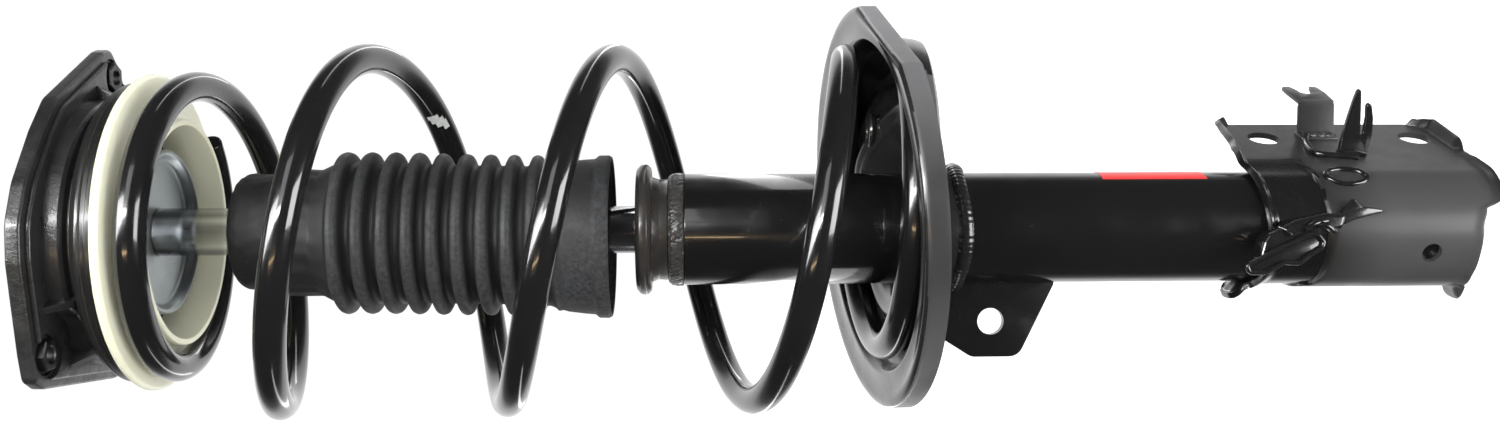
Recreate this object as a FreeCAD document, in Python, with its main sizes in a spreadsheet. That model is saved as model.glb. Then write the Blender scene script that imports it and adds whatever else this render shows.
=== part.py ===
import FreeCAD, Part
import Sketcher
import math
import os

V = FreeCAD.Vector
ROT = FreeCAD.Rotation
PL = FreeCAD.Placement

doc = FreeCAD.newDocument("strut_assembly")

# ---------------------------------------------------------------------------
# Driving dimensions, millimetres and degrees.
# Frame: +Z runs up the damper axis, the origin is the centre of the tower
# mounting face, +X points from the damper axis to the knuckle bolts and Y is
# parallel to the knuckle bolts. Heights below the tower face are negative Z;
# they are kept in the sheet as positive depths ("dz_...").
# ---------------------------------------------------------------------------
sheet = doc.addObject("Spreadsheet::Sheet", "dims")
CELLS = [
    # top mount
    ("plate_thick", 6.5, "mount plate thickness"),
    ("lobe_r", 11.0, "lobe corner radius"),
    ("plate_turn", -66.0, "turn of the plate outline about the axis"),
    ("ring_cx", -8.4, "centre of the tower bolt circle, along the outline's first direction"),
    ("ring_cy", -15.9, "centre of the tower bolt circle, along the outline's second direction"),
    ("nut_angle", 1.35, "direction of the first nut from the bolt circle's centre"),
    ("nut_pitch_r", 80.7, "tower bolt circle radius"),
    ("nut_seat_r", 6.5, "hole in the plate for the nut collar"),
    ("thread_r", 3.4, "M8 thread minor radius"),
    ("nut_hex_r", 7.5, "captive nut corner radius"),
    ("nut_high", 3.0, "captive nut height under the plate"),
    ("drum_r", 61.0, "housing drum outer radius"),
    ("drum_step_r", 58.0, "drum lower step radius"),
    ("drum_bore_r", 42.0, "drum bore"),
    ("drum_lip_r", 34.0, "top opening radius"),
    ("drum_lip_thick", 4.0, "top lip thickness"),
    ("dz_drum_step", 16.0, "depth of the drum step"),
    ("dz_drum", 22.0, "depth of the drum's lower face"),
    ("sleeve_r", 15.0, "inner sleeve outer radius"),
    ("stem_r", 7.0, "rod stem radius"),
    ("stem_bore_r", 7.05, "bore over the stem"),
    ("dz_sleeve_top", 11.5, "depth of the sleeve's top face"),
    ("dz_sleeve", 32.0, "depth of the sleeve's lower face"),
    ("washer_r", 20.0, "upper washer radius"),
    ("washer_thick", 2.3, "upper washer thickness"),
    ("nut_rod_r", 12.1, "rod nut corner radius"),
    ("nut_rod_high", 8.0, "rod nut height"),
    ("disc_r", 38.0, "zinc plate radius"),
    ("disc_thick", 2.0, "zinc plate thickness"),
    ("disc_rim", 5.0, "zinc plate rim depth"),
    # bearing
    ("cover_r", 69.5, "bearing cover outer radius"),
    ("cover_wall_r", 66.0, "bearing cover skirt inner radius"),
    ("cover_bore_r", 46.5, "bearing cover bore"),
    ("cover_thick", 2.5, "bearing cover top thickness"),
    ("dz_cover_skirt", 32.2, "depth of the skirt's lower edge"),
    ("race_in_r", 50.0, "bearing race inner radius"),
    ("race_out_r", 59.0, "bearing race outer radius"),
    ("race_thick", 2.0, "bearing race thickness"),
    ("ball_r", 2.5, "bearing ball radius"),
    ("ball_pitch_r", 54.0, "ball circle radius"),
    ("ball_count", 36, "balls"),
    ("run_gap", 0.05, "running clearance"),
    # upper spring seat
    ("seat_flange_r", 72.4, "nylon seat flange radius"),
    ("seat_in_r", 48.0, "nylon seat bore"),
    ("collar_r", 52.5, "nylon collar outer radius"),
    ("dz_seat_flange_top", 32.5, "depth of the flange's upper face"),
    ("dz_seat_flange", 36.5, "depth of the flange's lower face"),
    ("dz_collar", 47.0, "depth of the collar's lower edge"),
    # spring
    ("wire_r", 6.75, "spring wire radius"),
    ("coil_r", 79.5, "spring mean radius, open coils"),
    ("coil_top_r", 63.5, "spring mean radius, top end coil"),
    ("coil_low_r", 66.0, "spring mean radius, lower end coil"),
    ("coil_low_off", 11.0, "offset of the lower end coil"),
    # rod
    ("rod_r", 11.0, "piston rod radius"),
    ("dz_rod_step", 34.0, "depth of the rod's shoulder"),
    ("dz_rod_end", 352.0, "depth of the rod's lower end"),
    ("dz_rebound", 297.4, "depth of the rebound stop's top"),
    ("rebound_long", 7.0, "rebound stop length"),
    ("rebound_r", 15.0, "rebound stop radius"),
    ("dz_piston", 330.0, "depth of the piston's top"),
    ("piston_long", 14.0, "piston length"),
    ("piston_r", 15.6, "piston body radius"),
    ("piston_ring_r", 15.95, "piston ring radius"),
    ("spigot_r", 6.0, "rod spigot radius through the piston"),
    # boot and bump stop
    ("boot_head_r", 27.3, "boot head radius"),
    ("boot_wall", 1.2, "boot wall"),
    ("dz_boot_top", 71.0, "depth of the boot's top"),
    ("dz_boot_neck", 109.0, "depth where the bellows begin"),
    ("boot_neck_r", 29.2, "boot neck radius"),
    ("bell_peak_r", 37.6, "bellows peak radius"),
    ("bell_valley_r", 32.3, "bellows valley radius"),
    ("bell_pitch", 10.9, "bellows pitch"),
    ("dz_bell_first", 120.5, "depth of the first bellows peak"),
    ("bell_half", 2.2, "half width of a bellows crest"),
    ("cuff_r", 36.0, "boot cuff radius"),
    ("lip_r", 38.0, "boot end lip radius"),
    ("dz_lip", 236.0, "depth of the end lip"),
    ("dz_boot_end", 242.0, "depth of the boot's open end"),
    ("bump_r", 21.5, "bump stop radius"),
    ("bump_groove_r", 17.0, "bump stop groove radius"),
    ("bump_bore_r", 11.05, "bump stop bore"),
    ("dz_bump_top", 72.5, "depth of the bump stop's top"),
    ("dz_bump_end", 139.0, "depth of the bump stop's lower end"),
    # strut tube
    ("tube_r", 26.0, "strut tube outer radius"),
    ("tube_in_r", 23.2, "strut tube inner radius"),
    ("dz_tube_top", 275.4, "depth of the tube's top end"),
    ("dz_tube_end", 632.0, "depth of the tube's lower end"),
    ("cap_r", 30.4, "cap flange radius"),
    ("cap_neck_r", 23.7, "cap neck radius"),
    ("cap_bore_r", 11.6, "cap bore"),
    ("dz_cap_top", 253.4, "depth of the cap's top face"),
    ("dz_cap_flange", 260.4, "depth of the cap flange's lower face"),
    ("dz_cap_neck", 268.0, "depth of the neck's lower end"),
    ("band_r", 26.3, "rolled band radius"),
    ("seal_r", 19.0, "rod seal radius"),
    ("seal_bore_r", 11.03, "rod seal bore"),
    ("guide_bore_r", 11.04, "rod guide bore"),
    ("dz_guide_end", 296.0, "depth of the guide's lower face"),
    ("ptube_r", 17.5, "pressure tube outer radius"),
    ("ptube_in_r", 16.0, "pressure tube bore"),
    ("dz_ptube_end", 604.0, "depth of the pressure tube's end"),
    ("valve_r", 16.0, "base valve radius"),
    ("valve_long", 12.0, "base valve length"),
    ("endcap_thick", 3.0, "tube end cap thickness"),
    # lower spring seat
    ("pan_r", 96.0, "lower seat rim radius"),
    ("pan_sheet", 3.0, "lower seat sheet thickness"),
    ("pan_skirt", 9.0, "lower seat skirt depth"),
    ("pan_ring_r", 78.5, "lower seat flat ring, inner radius"),
    ("pan_floor_r", 74.8, "lower seat floor radius"),
    ("pan_off", 10.0, "lower seat rim offset from the axis, sideways"),
    ("pan_back", 14.0, "lower seat rim offset from the axis, backwards"),
    ("well_back", 4.0, "well mouth offset from the axis, backwards"),
    ("pan_tilt_f", 0.14, "lower seat slope, front to back"),
    ("pan_tilt_u", 0.068, "lower seat slope, side to side"),
    ("dz_pan", 363.5, "depth of the rim plane on the strut axis side"),
    ("dz_pan_floor", 386.0, "depth of the floor's upper face"),
    ("dz_pan_hub", 401.0, "depth of the hub's lower end"),
    ("hub_r", 29.0, "hub radius"),
    ("weld_leg", 3.6, "weld bead leg"),
    # stabiliser link tab
    ("tab_thick", 5.0, "link tab thickness"),
    ("tab_hole_r", 6.25, "link hole radius"),
    ("dz_tab_hole", 419.8, "depth of the link hole"),
    ("tab_hole_drop", 44.2, "link hole from the axis"),
    # knuckle bracket
    ("shell_r", 29.0, "bracket shell outer radius"),
    ("shell_in_r", 26.05, "bracket shell inner radius"),
    ("ear_x", 60.0, "ear edge from the axis"),
    ("dz_shell_top", 538.5, "depth of the bracket's top edge"),
    ("dz_shell_end", 664.0, "depth of the ears' lower edge"),
    ("bolt_x", 41.0, "knuckle bolt from the axis"),
    ("bolt_hole_r", 7.75, "knuckle bolt hole radius"),
    ("dz_bolt_a", 563.5, "depth of the upper knuckle bolt"),
    ("dz_bolt_b", 640.0, "depth of the lower knuckle bolt"),
    ("drain_r", 4.5, "drain hole radius"),
    ("dz_drain", 620.0, "depth of the drain hole"),
    ("clip_sheet", 2.0, "bracket sheet thickness"),
]
for i, (alias, value, note) in enumerate(CELLS):
    row = i + 1
    sheet.set("A%d" % row, "'" + note)
    sheet.set("B%d" % row, str(value))
    sheet.setAlias("B%d" % row, alias)
# outline of the mount plate: corners across the axis, one cell per coordinate
RIM = [(69.0, -30.0), (79.5, -21.5), (86.0, -14.0), (83.5, -6.0), (58.8, 41.0), (44.5, 53.5), (22.5, 68.5), (5.5, 74.6),
       (-11.0, 74.0), (-26.0, 70.5), (-50.0, 65.0), (-63.0, 61.0), (-68.0, 52.0), (-69.5, -17.0), (-60.0, -92.0), (-50.0, -98.0),
       (-34.0, -96.0)]
for i, (px, py) in enumerate(RIM):
    for tag, value in (("rim_across_", px), ("rim_along_", py)):
        row += 1
        alias = tag + "abcdefghijklmnopq"[i]
        CELLS.append((alias, value, "mount plate outline corner"))
        sheet.set("A%d" % row, "'mount plate outline corner")
        sheet.set("B%d" % row, str(value))
        sheet.setAlias("B%d" % row, alias)
doc.recompute()
DIM = {alias: float(value) for alias, value, note in CELLS}


def lin(text):
    """Value and sheet expression of a sum of cells and numbers."""
    text = str(text)
    total = 0.0
    words = []
    sign = 1.0
    for w in text.replace("-", " - ").replace("+", " + ").split():
        if w == "+" or w == "-":
            sign = 1.0 if w == "+" else -1.0
            words.append(w)
            continue
        value = 1.0
        names = []
        for f in w.split("*"):
            if f[0].isdigit() or f[0] == ".":
                value *= float(f)
                names.append(f)
            else:
                value *= DIM[f]
                names.append("dims." + f)
        total += sign * value
        sign = 1.0
        words.append("*".join(names))
    return total, " ".join(words)


def bound(text):
    return any(c.isalpha() for c in str(text))


def bind(obj, prop, text):
    value, expr = lin(text)
    setattr(obj, prop, value)
    if bound(text):
        obj.setExpression(prop, expr)


def body(name):
    b = doc.addObject("PartDesign::Body", name)
    b.Label = name
    return b


def sketch(b, name, plane, loops, lift=None):
    sk = b.newObject("Sketcher::SketchObject", name)
    pl = [f for f in b.Origin.OriginFeatures if f.Role == plane][0]
    sk.AttachmentSupport = [(pl, "")]
    sk.MapMode = "FlatFace"
    if lift is not None:
        value, expr = lin(lift)
        sk.AttachmentOffset = PL(V(0, 0, value), ROT())
        if bound(lift):
            sk.setExpression("AttachmentOffset.Base.z", expr)
    k = 0

    def fix(geo, pos, x, y):
        for axis, text, ref in (("DistanceX", x, -2), ("DistanceY", y, -1)):
            value, expr = lin(text)
            if abs(value) < 1e-9:
                sk.addConstraint(Sketcher.Constraint("PointOnObject", geo, pos, ref))
            else:
                ci = sk.addConstraint(Sketcher.Constraint(axis, -1, 1, geo, pos, value))
                if bound(text):
                    sk.setExpression("Constraints[%d]" % ci, expr)

    for loop in loops:
        if loop[0] == "circle":
            x, y, r = loop[1:]
            sk.addGeometry(Part.Circle(V(lin(x)[0], lin(y)[0], 0), V(0, 0, 1), lin(r)[0]), False)
            ci = sk.addConstraint(Sketcher.Constraint("Radius", k, lin(r)[0]))
            if bound(r):
                sk.setExpression("Constraints[%d]" % ci, lin(r)[1])
            fix(k, 3, x, y)
            k += 1
            continue
        n = len(loop)
        for i in range(n):
            a = loop[i]
            c = loop[(i + 1) % n]
            sk.addGeometry(Part.LineSegment(V(lin(a[0])[0], lin(a[1])[0], 0),
                                            V(lin(c[0])[0], lin(c[1])[0], 0)), False)
        for i in range(n):
            sk.addConstraint(Sketcher.Constraint("Coincident", k + i, 2, k + (i + 1) % n, 1))
        for i in range(n):
            fix(k + i, 1, loop[i][0], loop[i][1])
        k += n
    return sk


def revolve(name, loops):
    """A turned piece: loops of (radius, height) about the strut axis."""
    b = body(name)
    sk = sketch(b, name + "_profile", "XZ_Plane", loops)
    doc.recompute()
    f = b.newObject("PartDesign::Revolution", name + "_turn")
    f.Profile = sk
    f.ReferenceAxis = (sk, ["V_Axis"])
    f.Angle = 360
    sk.Visibility = False
    return b


def pad(b, sk, name, length, kind="PartDesign::Pad", both=False, back=False):
    doc.recompute()
    before = b.Shape.Volume if not b.Shape.isNull() else 0.0
    f = b.newObject(kind, name)
    f.Profile = sk
    bind(f, "Length", length)
    f.Midplane = both
    f.Reversed = back
    doc.recompute()
    if kind.endswith("Pocket") and b.Shape.Volume > before - 1e-6:
        f.Reversed = not back
        doc.recompute()
        if b.Shape.Volume > before - 1e-6:
            raise RuntimeError(name + " cuts nothing")
    return f


def dress(b, name, kind, size, pick):
    """Fillet or chamfer on the edges of the body's tip that pick() accepts."""
    doc.recompute()
    tip = b.Tip
    edges = ["Edge%d" % (i + 1) for i, e in enumerate(tip.Shape.Edges) if pick(e)]
    if not edges:
        raise RuntimeError("no edge for " + name)
    f = b.newObject(kind, name)
    f.Base = (tip, edges)
    bind(f, "Radius" if kind.endswith("Fillet") else "Size", size)
    doc.recompute()
    return f


def ring_edge(radius, z, tol=0.02):
    def pick(e):
        c = e.Curve
        return (isinstance(c, Part.Circle) and abs(c.Radius - radius) < tol
                and abs(c.Center.z - z) < tol)
    return pick


def any_of(*picks):
    return lambda e: any(p(e) for p in picks)


NODES = {}


def keep(obj, label=None):
    NODES[label or obj.Label] = obj
    return obj


def box_ring(name, r_in, r_out, z_low, z_high):
    return revolve(name, [[(r_in, z_low), (r_out, z_low), (r_out, z_high), (r_in, z_high)]])


# ---------------------------------------------------------------------------
# Top mount: cast housing with three lobes
# ---------------------------------------------------------------------------
b = body("mount_housing")
letters = "abcdefghijklmnopq"
sk = sketch(b, "housing_plate", "XY_Plane", [
    [("rim_across_" + letters[i], "- rim_along_" + letters[i]) for i in range(len(RIM))],
    ("circle", "0", "0", "drum_bore_r")])
pad(b, sk, "housing_plate_pad", "plate_thick", back=True)


def plate_corner(e):
    if len(e.Vertexes) != 2 or abs(e.Length - DIM["plate_thick"]) > 0.01:
        return False
    p, q = e.Vertexes[0].Point, e.Vertexes[1].Point
    return abs(p.x - q.x) < 0.01 and abs(p.y - q.y) < 0.01 and math.hypot(p.x, p.y) > 83


dress(b, "housing_corners", "PartDesign::Fillet", "lobe_r - 3", plate_corner)
sk = sketch(b, "housing_hole", "XY_Plane", [("circle", "ring_cx + %.6f*nut_pitch_r" % math.cos(math.radians(DIM["nut_angle"] + 120 * k)),
                                             "- ring_cy - %.6f*nut_pitch_r" % math.sin(math.radians(DIM["nut_angle"] + 120 * k)), "nut_seat_r")
                                            for k in range(3)])
pad(b, sk, "housing_hole_cut", "plate_thick + 4", kind="PartDesign::Pocket")
sk = sketch(b, "housing_drum", "XZ_Plane", [[
    ("drum_lip_r", "0"), ("drum_r", "0"), ("drum_r", "- dz_drum_step"),
    ("drum_step_r", "- dz_drum_step - 1"), ("drum_step_r", "- dz_drum"),
    ("drum_bore_r", "- dz_drum"), ("drum_bore_r", "- drum_lip_thick"), ("drum_lip_r", "- drum_lip_thick")]])
doc.recompute()
f = b.newObject("PartDesign::Revolution", "housing_drum_turn")
f.Profile = sk
f.ReferenceAxis = (sk, ["V_Axis"])
f.Angle = 360
doc.recompute()
# the outline's second direction is turned over, so that it reads towards the front
b.Placement = PL(V(0, 0, 0), ROT(V(0, 0, 1), DIM["plate_turn"]))
keep(b)

# captive nuts, one under each lobe
parts = []
for k in range(3):
    hexa = doc.addObject("Part::Prism", "nut_hex_%d" % k)
    hexa.Polygon = 6
    bind(hexa, "Circumradius", "nut_hex_r")
    bind(hexa, "Height", "nut_high")
    coll = doc.addObject("Part::Cylinder", "nut_collar_%d" % k)
    bind(coll, "Radius", "nut_seat_r")
    bind(coll, "Height", "plate_thick - 0.5")
    bore = doc.addObject("Part::Cylinder", "nut_bore_%d" % k)
    bind(bore, "Radius", "thread_r")
    bind(bore, "Height", "nut_high + plate_thick + 4")
    hexa.Placement = PL(V(0, 0, -DIM["plate_thick"] - DIM["nut_high"]), ROT())
    hexa.setExpression("Placement.Base.z", "-dims.plate_thick - dims.nut_high")
    coll.Placement = PL(V(0, 0, -DIM["plate_thick"]), ROT())
    coll.setExpression("Placement.Base.z", "-dims.plate_thick")
    bore.Placement = PL(V(0, 0, -DIM["plate_thick"] - DIM["nut_high"] - 2), ROT())
    bore.setExpression("Placement.Base.z", "-dims.plate_thick - dims.nut_high - 2")
    fuse = doc.addObject("Part::Fuse", "nut_solid_%d" % k)
    fuse.Base = hexa
    fuse.Tool = coll
    cut = doc.addObject("Part::Cut", "nut_%d" % k)
    cut.Base = fuse
    cut.Tool = bore
    ang = math.radians(DIM["nut_angle"] + 120 * k)
    cut.Placement = PL(V(DIM["ring_cx"] + DIM["nut_pitch_r"] * math.cos(ang), -DIM["ring_cy"] - DIM["nut_pitch_r"] * math.sin(ang), 0), ROT())
    cut.setExpression("Placement.Base.x", "dims.ring_cx + dims.nut_pitch_r * cos((dims.nut_angle + %d) * 1deg)" % (120 * k))
    cut.setExpression("Placement.Base.y", "-dims.ring_cy - dims.nut_pitch_r * sin((dims.nut_angle + %d) * 1deg)" % (120 * k))
    parts.append(cut)
comp = doc.addObject("Part::Compound", "captive_nuts")
comp.Label = "captive_nuts"
comp.Links = parts
comp.Placement = PL(V(0, 0, 0), ROT(V(0, 0, 1), DIM["plate_turn"]))
keep(comp)

# rubber block bonded between the housing and the inner sleeve
keep(revolve("mount_rubber", [[
    ("sleeve_r", "- dz_sleeve_top - 1.5"), ("sleeve_r + 6", "- dz_sleeve_top - 4"), ("drum_bore_r - 8", "- 8"),
    ("drum_bore_r - 5", "- drum_lip_thick"), ("drum_bore_r", "- drum_lip_thick"), ("drum_bore_r", "- dz_drum + 1"),
    ("drum_bore_r - 9", "- dz_drum + 2"), ("sleeve_r + 5", "- dz_sleeve + 4"), ("sleeve_r", "- dz_sleeve + 1.5")]]))
b = revolve("inner_sleeve", [[
    ("stem_bore_r", "- dz_sleeve"), ("sleeve_r", "- dz_sleeve"), ("sleeve_r", "- dz_sleeve_top"),
    ("stem_bore_r", "- dz_sleeve_top")]])
dress(b, "inner_sleeve_edge", "PartDesign::Chamfer", "0.8", any_of(
    ring_edge(DIM["sleeve_r"], -DIM["dz_sleeve_top"]), ring_edge(DIM["sleeve_r"], -DIM["dz_sleeve"])))
keep(b)
b = box_ring("upper_washer", "stem_bore_r", "washer_r", "- dz_sleeve_top", "- dz_sleeve_top + washer_thick")
dress(b, "upper_washer_edge", "PartDesign::Fillet", "0.8", ring_edge(DIM["washer_r"], -DIM["dz_sleeve_top"] + DIM["washer_thick"]))
keep(b)

hexa = doc.addObject("Part::Prism", "rod_nut_hex")
hexa.Polygon = 6
bind(hexa, "Circumradius", "nut_rod_r")
bind(hexa, "Height", "nut_rod_high")
hexa.Placement = PL(V(0, 0, -DIM["dz_sleeve_top"] + DIM["washer_thick"]), ROT())
hexa.setExpression("Placement.Base.z", "-dims.dz_sleeve_top + dims.washer_thick")
cone = doc.addObject("Part::Cone", "rod_nut_cone")
bind(cone, "Radius1", "nut_rod_r + nut_rod_high - 1.2")
bind(cone, "Radius2", "nut_rod_r - 1.2")
bind(cone, "Height", "nut_rod_high")
cone.Placement = hexa.Placement
cone.setExpression("Placement.Base.z", "-dims.dz_sleeve_top + dims.washer_thick")
com = doc.addObject("Part::Common", "rod_nut_blank")
com.Base = hexa
com.Tool = cone
bore = doc.addObject("Part::Cylinder", "rod_nut_bore")
bind(bore, "Radius", "stem_bore_r")
bind(bore, "Height", "nut_rod_high + 4")
bore.Placement = PL(V(0, 0, -DIM["dz_sleeve_top"] - 1), ROT())
bore.setExpression("Placement.Base.z", "-dims.dz_sleeve_top - 1")
cut = doc.addObject("Part::Cut", "rod_nut")
cut.Label = "rod_nut"
cut.Base = com
cut.Tool = bore
keep(cut)

# zinc plated plate under the sleeve, rim turned down
b = revolve("lower_plate", [[
    ("stem_bore_r", "- dz_rod_step"), ("disc_r - 4", "- dz_rod_step"), ("disc_r - 2", "- dz_rod_step - disc_rim"),
    ("disc_r", "- dz_rod_step - disc_rim"), ("disc_r", "- dz_rod_step"), ("disc_r - 2", "- dz_sleeve"),
    ("stem_bore_r", "- dz_sleeve")]])
dress(b, "lower_plate_edge", "PartDesign::Fillet", "0.9", any_of(
    ring_edge(DIM["disc_r"], -DIM["dz_rod_step"] - DIM["disc_rim"]),
    ring_edge(DIM["disc_r"] - 2, -DIM["dz_rod_step"] - DIM["disc_rim"])))
keep(b)

# steering bearing: cover, races and balls
b = revolve("bearing_cover", [[
    ("cover_bore_r", "- dz_drum - cover_thick"), ("cover_wall_r", "- dz_drum - cover_thick"),
    ("cover_wall_r", "- dz_cover_skirt"), ("cover_r", "- dz_cover_skirt"), ("cover_r", "- dz_drum - 3"),
    ("cover_r - 3", "- dz_drum"), ("cover_bore_r", "- dz_drum")]])
keep(b)
keep(box_ring("bearing_upper_race", "race_in_r", "race_out_r", "- dz_drum - cover_thick - race_thick",
              "- dz_drum - cover_thick"))
balls = doc.addObject("Part::Feature", "bearing_balls")
zb = -DIM["dz_drum"] - DIM["cover_thick"] - DIM["race_thick"] - DIM["ball_r"]
n_balls = int(DIM["ball_count"])
balls.Shape = Part.makeCompound([
    Part.makeSphere(DIM["ball_r"], V(DIM["ball_pitch_r"] * math.cos(2 * math.pi * k / n_balls),
                                     DIM["ball_pitch_r"] * math.sin(2 * math.pi * k / n_balls), zb))
    for k in range(n_balls)])
balls.Label = "bearing_balls"
balls.Placement = PL()
keep(balls)
keep(box_ring("bearing_lower_race", "race_in_r", "race_out_r",
              "- dz_drum - cover_thick - 2*race_thick - 2*ball_r - run_gap",
              "- dz_drum - cover_thick - race_thick - 2*ball_r - run_gap"))

# nylon upper spring seat
z_race = "- dz_drum - cover_thick - 2*race_thick - 2*ball_r - run_gap"
b = revolve("upper_spring_seat", [[
    ("seat_in_r", "- dz_collar"), ("collar_r - 1", "- dz_collar"), ("collar_r", "- dz_collar + 1"),
    ("collar_r", "- dz_seat_flange"), ("seat_flange_r", "- dz_seat_flange"), ("seat_flange_r", "- dz_seat_flange_top"),
    ("race_out_r + 1", "- dz_seat_flange_top"), ("race_out_r + 1", z_race), ("seat_in_r", z_race)]])
dress(b, "upper_spring_seat_edge", "PartDesign::Fillet", "1.2", any_of(
    ring_edge(DIM["seat_flange_r"], -DIM["dz_seat_flange"]), ring_edge(DIM["seat_flange_r"], -DIM["dz_seat_flange_top"])))
keep(b)

# ---------------------------------------------------------------------------
# Coil spring: left-hand wound, end coils smaller than the open coils
# ---------------------------------------------------------------------------
# stations: turn angle (degrees), depth, mean radius, offset of the coil centre
cr, ct, cl, off = DIM["coil_r"], DIM["coil_top_r"], DIM["coil_low_r"], DIM["coil_low_off"]
STATIONS = [
    (44, 43.7, ct - 1.5, 0), (90, 43.8, ct - 1.5, 0), (180, 44.2, ct - 1.5, 0), (270, 45.8, ct, 0), (360, 53.0, ct + 3.5, 0),
    (450, 69.0, ct + 11, 0), (540, 91.0, cr, 0), (630, 113.0, cr, 0), (720, 134.0, cr, 0), (900, 193.0, cr, 0),
    (1080, 246.0, cr, 0), (1260, 305.0, cr, 0), (1350, 333.0, cr, 1), (1440, 352.0, cr - 3, 3),
    (1530, 361.0, cl + 3, 7), (1620, 368.5, cl, off), (1710, 374.5, cl, off), (1790, 377.6, cl, off)]


def hermite(xs, ys, x):
    """Piecewise cubic through the stations with three-point slopes."""
    n = len(xs)
    i = 0
    while i < n - 2 and x > xs[i + 1]:
        i += 1

    def slope(j):
        if j == 0:
            return (ys[1] - ys[0]) / (xs[1] - xs[0])
        if j == n - 1:
            return (ys[-1] - ys[-2]) / (xs[-1] - xs[-2])
        ha, hb = xs[j] - xs[j - 1], xs[j + 1] - xs[j]
        da, db = (ys[j] - ys[j - 1]) / ha, (ys[j + 1] - ys[j]) / hb
        return (da * hb + db * ha) / (ha + hb)
    hh = xs[i + 1] - xs[i]
    u = (x - xs[i]) / hh
    return ((2 * u ** 3 - 3 * u ** 2 + 1) * ys[i] + (u ** 3 - 2 * u ** 2 + u) * hh * slope(i)
            + (-2 * u ** 3 + 3 * u ** 2) * ys[i + 1] + (u ** 3 - u ** 2) * hh * slope(i + 1))


SIDE = math.radians(24.0)
UP = V(math.sin(SIDE), -math.cos(SIDE), 0)      # across, the side of the seat offset
FRONT = V(-math.cos(SIDE), -math.sin(SIDE), 0)  # across, away from the knuckle side


def coil_point(turn):
    xs = [s[0] for s in STATIONS]
    z = -hermite(xs, [s[1] for s in STATIONS], turn)
    r = hermite(xs, [s[2] for s in STATIONS], turn)
    o = hermite(xs, [s[3] for s in STATIONS], turn)
    a = math.radians(-turn)
    return UP * (r * math.cos(a) + o) + FRONT * (r * math.sin(a)) + V(0, 0, z)


step = 15.0
turns = []
t0, t1 = STATIONS[0][0], STATIONS[-1][0]
n = int(round((t1 - t0) / step))
path_pts = [coil_point(t0 + (t1 - t0) * k / n) for k in range(n + 1)]
curve = Part.BSplineCurve()
curve.interpolate(path_pts)
path = Part.Wire([curve.toShape()])
tangent = curve.tangent(curve.FirstParameter)[0]
section = Part.Wire([Part.makeCircle(DIM["wire_r"], path_pts[0], tangent)])
sweep = path.makePipeShell([section], True, False)
spring = doc.addObject("Part::Feature", "coil_spring")
spring.Shape = sweep
spring.Label = "coil_spring"
spring.Placement = PL()
keep(spring)

# ---------------------------------------------------------------------------
# Piston rod and its running pieces
# ---------------------------------------------------------------------------
b = revolve("piston_rod", [[
    ("0", "- dz_rod_end"), ("spigot_r", "- dz_rod_end"), ("spigot_r", "- dz_piston"), ("rod_r", "- dz_piston"),
    ("rod_r", "- dz_rod_step"), ("stem_r", "- dz_rod_step"), ("stem_r", "- 1.6"), ("stem_r - 1", "- 0.6"),
    ("0", "- 0.6")]])
keep(b)
b = box_ring("rebound_stop", "rod_r", "rebound_r", "- dz_rebound - rebound_long", "- dz_rebound")
dress(b, "rebound_stop_edge", "PartDesign::Chamfer", "1", any_of(
    ring_edge(DIM["rebound_r"], -DIM["dz_rebound"]), ring_edge(DIM["rebound_r"], -DIM["dz_rebound"] - DIM["rebound_long"])))
keep(b)
keep(revolve("piston", [[
    ("spigot_r", "- dz_piston - piston_long"), ("piston_r", "- dz_piston - piston_long"),
    ("piston_r", "- dz_piston - piston_long + 4"), ("piston_r - 1.5", "- dz_piston - piston_long + 4"),
    ("piston_r - 1.5", "- dz_piston - 4"), ("piston_r", "- dz_piston - 4"), ("piston_r", "- dz_piston"),
    ("spigot_r", "- dz_piston")]]))
keep(box_ring("piston_ring", "piston_r - 1.5", "piston_ring_r", "- dz_piston - piston_long + 4", "- dz_piston - 4"))
hexa = doc.addObject("Part::Prism", "piston_nut_hex")
hexa.Polygon = 6
bind(hexa, "Circumradius", "spigot_r + 4")
bind(hexa, "Height", "dz_rod_end - dz_piston - piston_long - 1")
hexa.Placement = PL(V(0, 0, -DIM["dz_rod_end"] + 1), ROT())
hexa.setExpression("Placement.Base.z", "-dims.dz_rod_end + 1")
bore = doc.addObject("Part::Cylinder", "piston_nut_bore")
bind(bore, "Radius", "spigot_r")
bind(bore, "Height", "20")
bore.Placement = PL(V(0, 0, -DIM["dz_rod_end"] - 4), ROT())
bore.setExpression("Placement.Base.z", "-dims.dz_rod_end - 4")
cut = doc.addObject("Part::Cut", "piston_nut")
cut.Label = "piston_nut"
cut.Base = hexa
cut.Tool = bore
keep(cut)

# ---------------------------------------------------------------------------
# Boot and bump stop
# ---------------------------------------------------------------------------
outer = [("rod_r + 3", "- dz_boot_top"), ("boot_head_r - 5", "- dz_boot_top"), ("boot_head_r - 1.5", "- dz_boot_top - 2"),
         ("boot_head_r", "- dz_boot_top - 6"), ("boot_head_r", "- dz_boot_neck + 22"),
         ("boot_neck_r", "- dz_boot_neck + 17"), ("boot_neck_r", "- dz_boot_neck"),
         ("bell_valley_r", "- dz_bell_first + 0.5*bell_pitch + 1")]
inner = [("rod_r + 3", "- dz_boot_top - boot_wall"), ("boot_head_r - 5 - boot_wall", "- dz_boot_top - boot_wall"),
         ("boot_head_r - 1.5 - boot_wall", "- dz_boot_top - 2 - boot_wall"),
         ("boot_head_r - boot_wall", "- dz_boot_top - 7"), ("boot_head_r - boot_wall", "- dz_boot_neck + 22"),
         ("boot_neck_r - boot_wall", "- dz_boot_neck + 17"), ("boot_neck_r - boot_wall", "- dz_boot_neck"),
         ("bell_valley_r - boot_wall", "- dz_bell_first + 0.5*bell_pitch + 1")]
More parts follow.
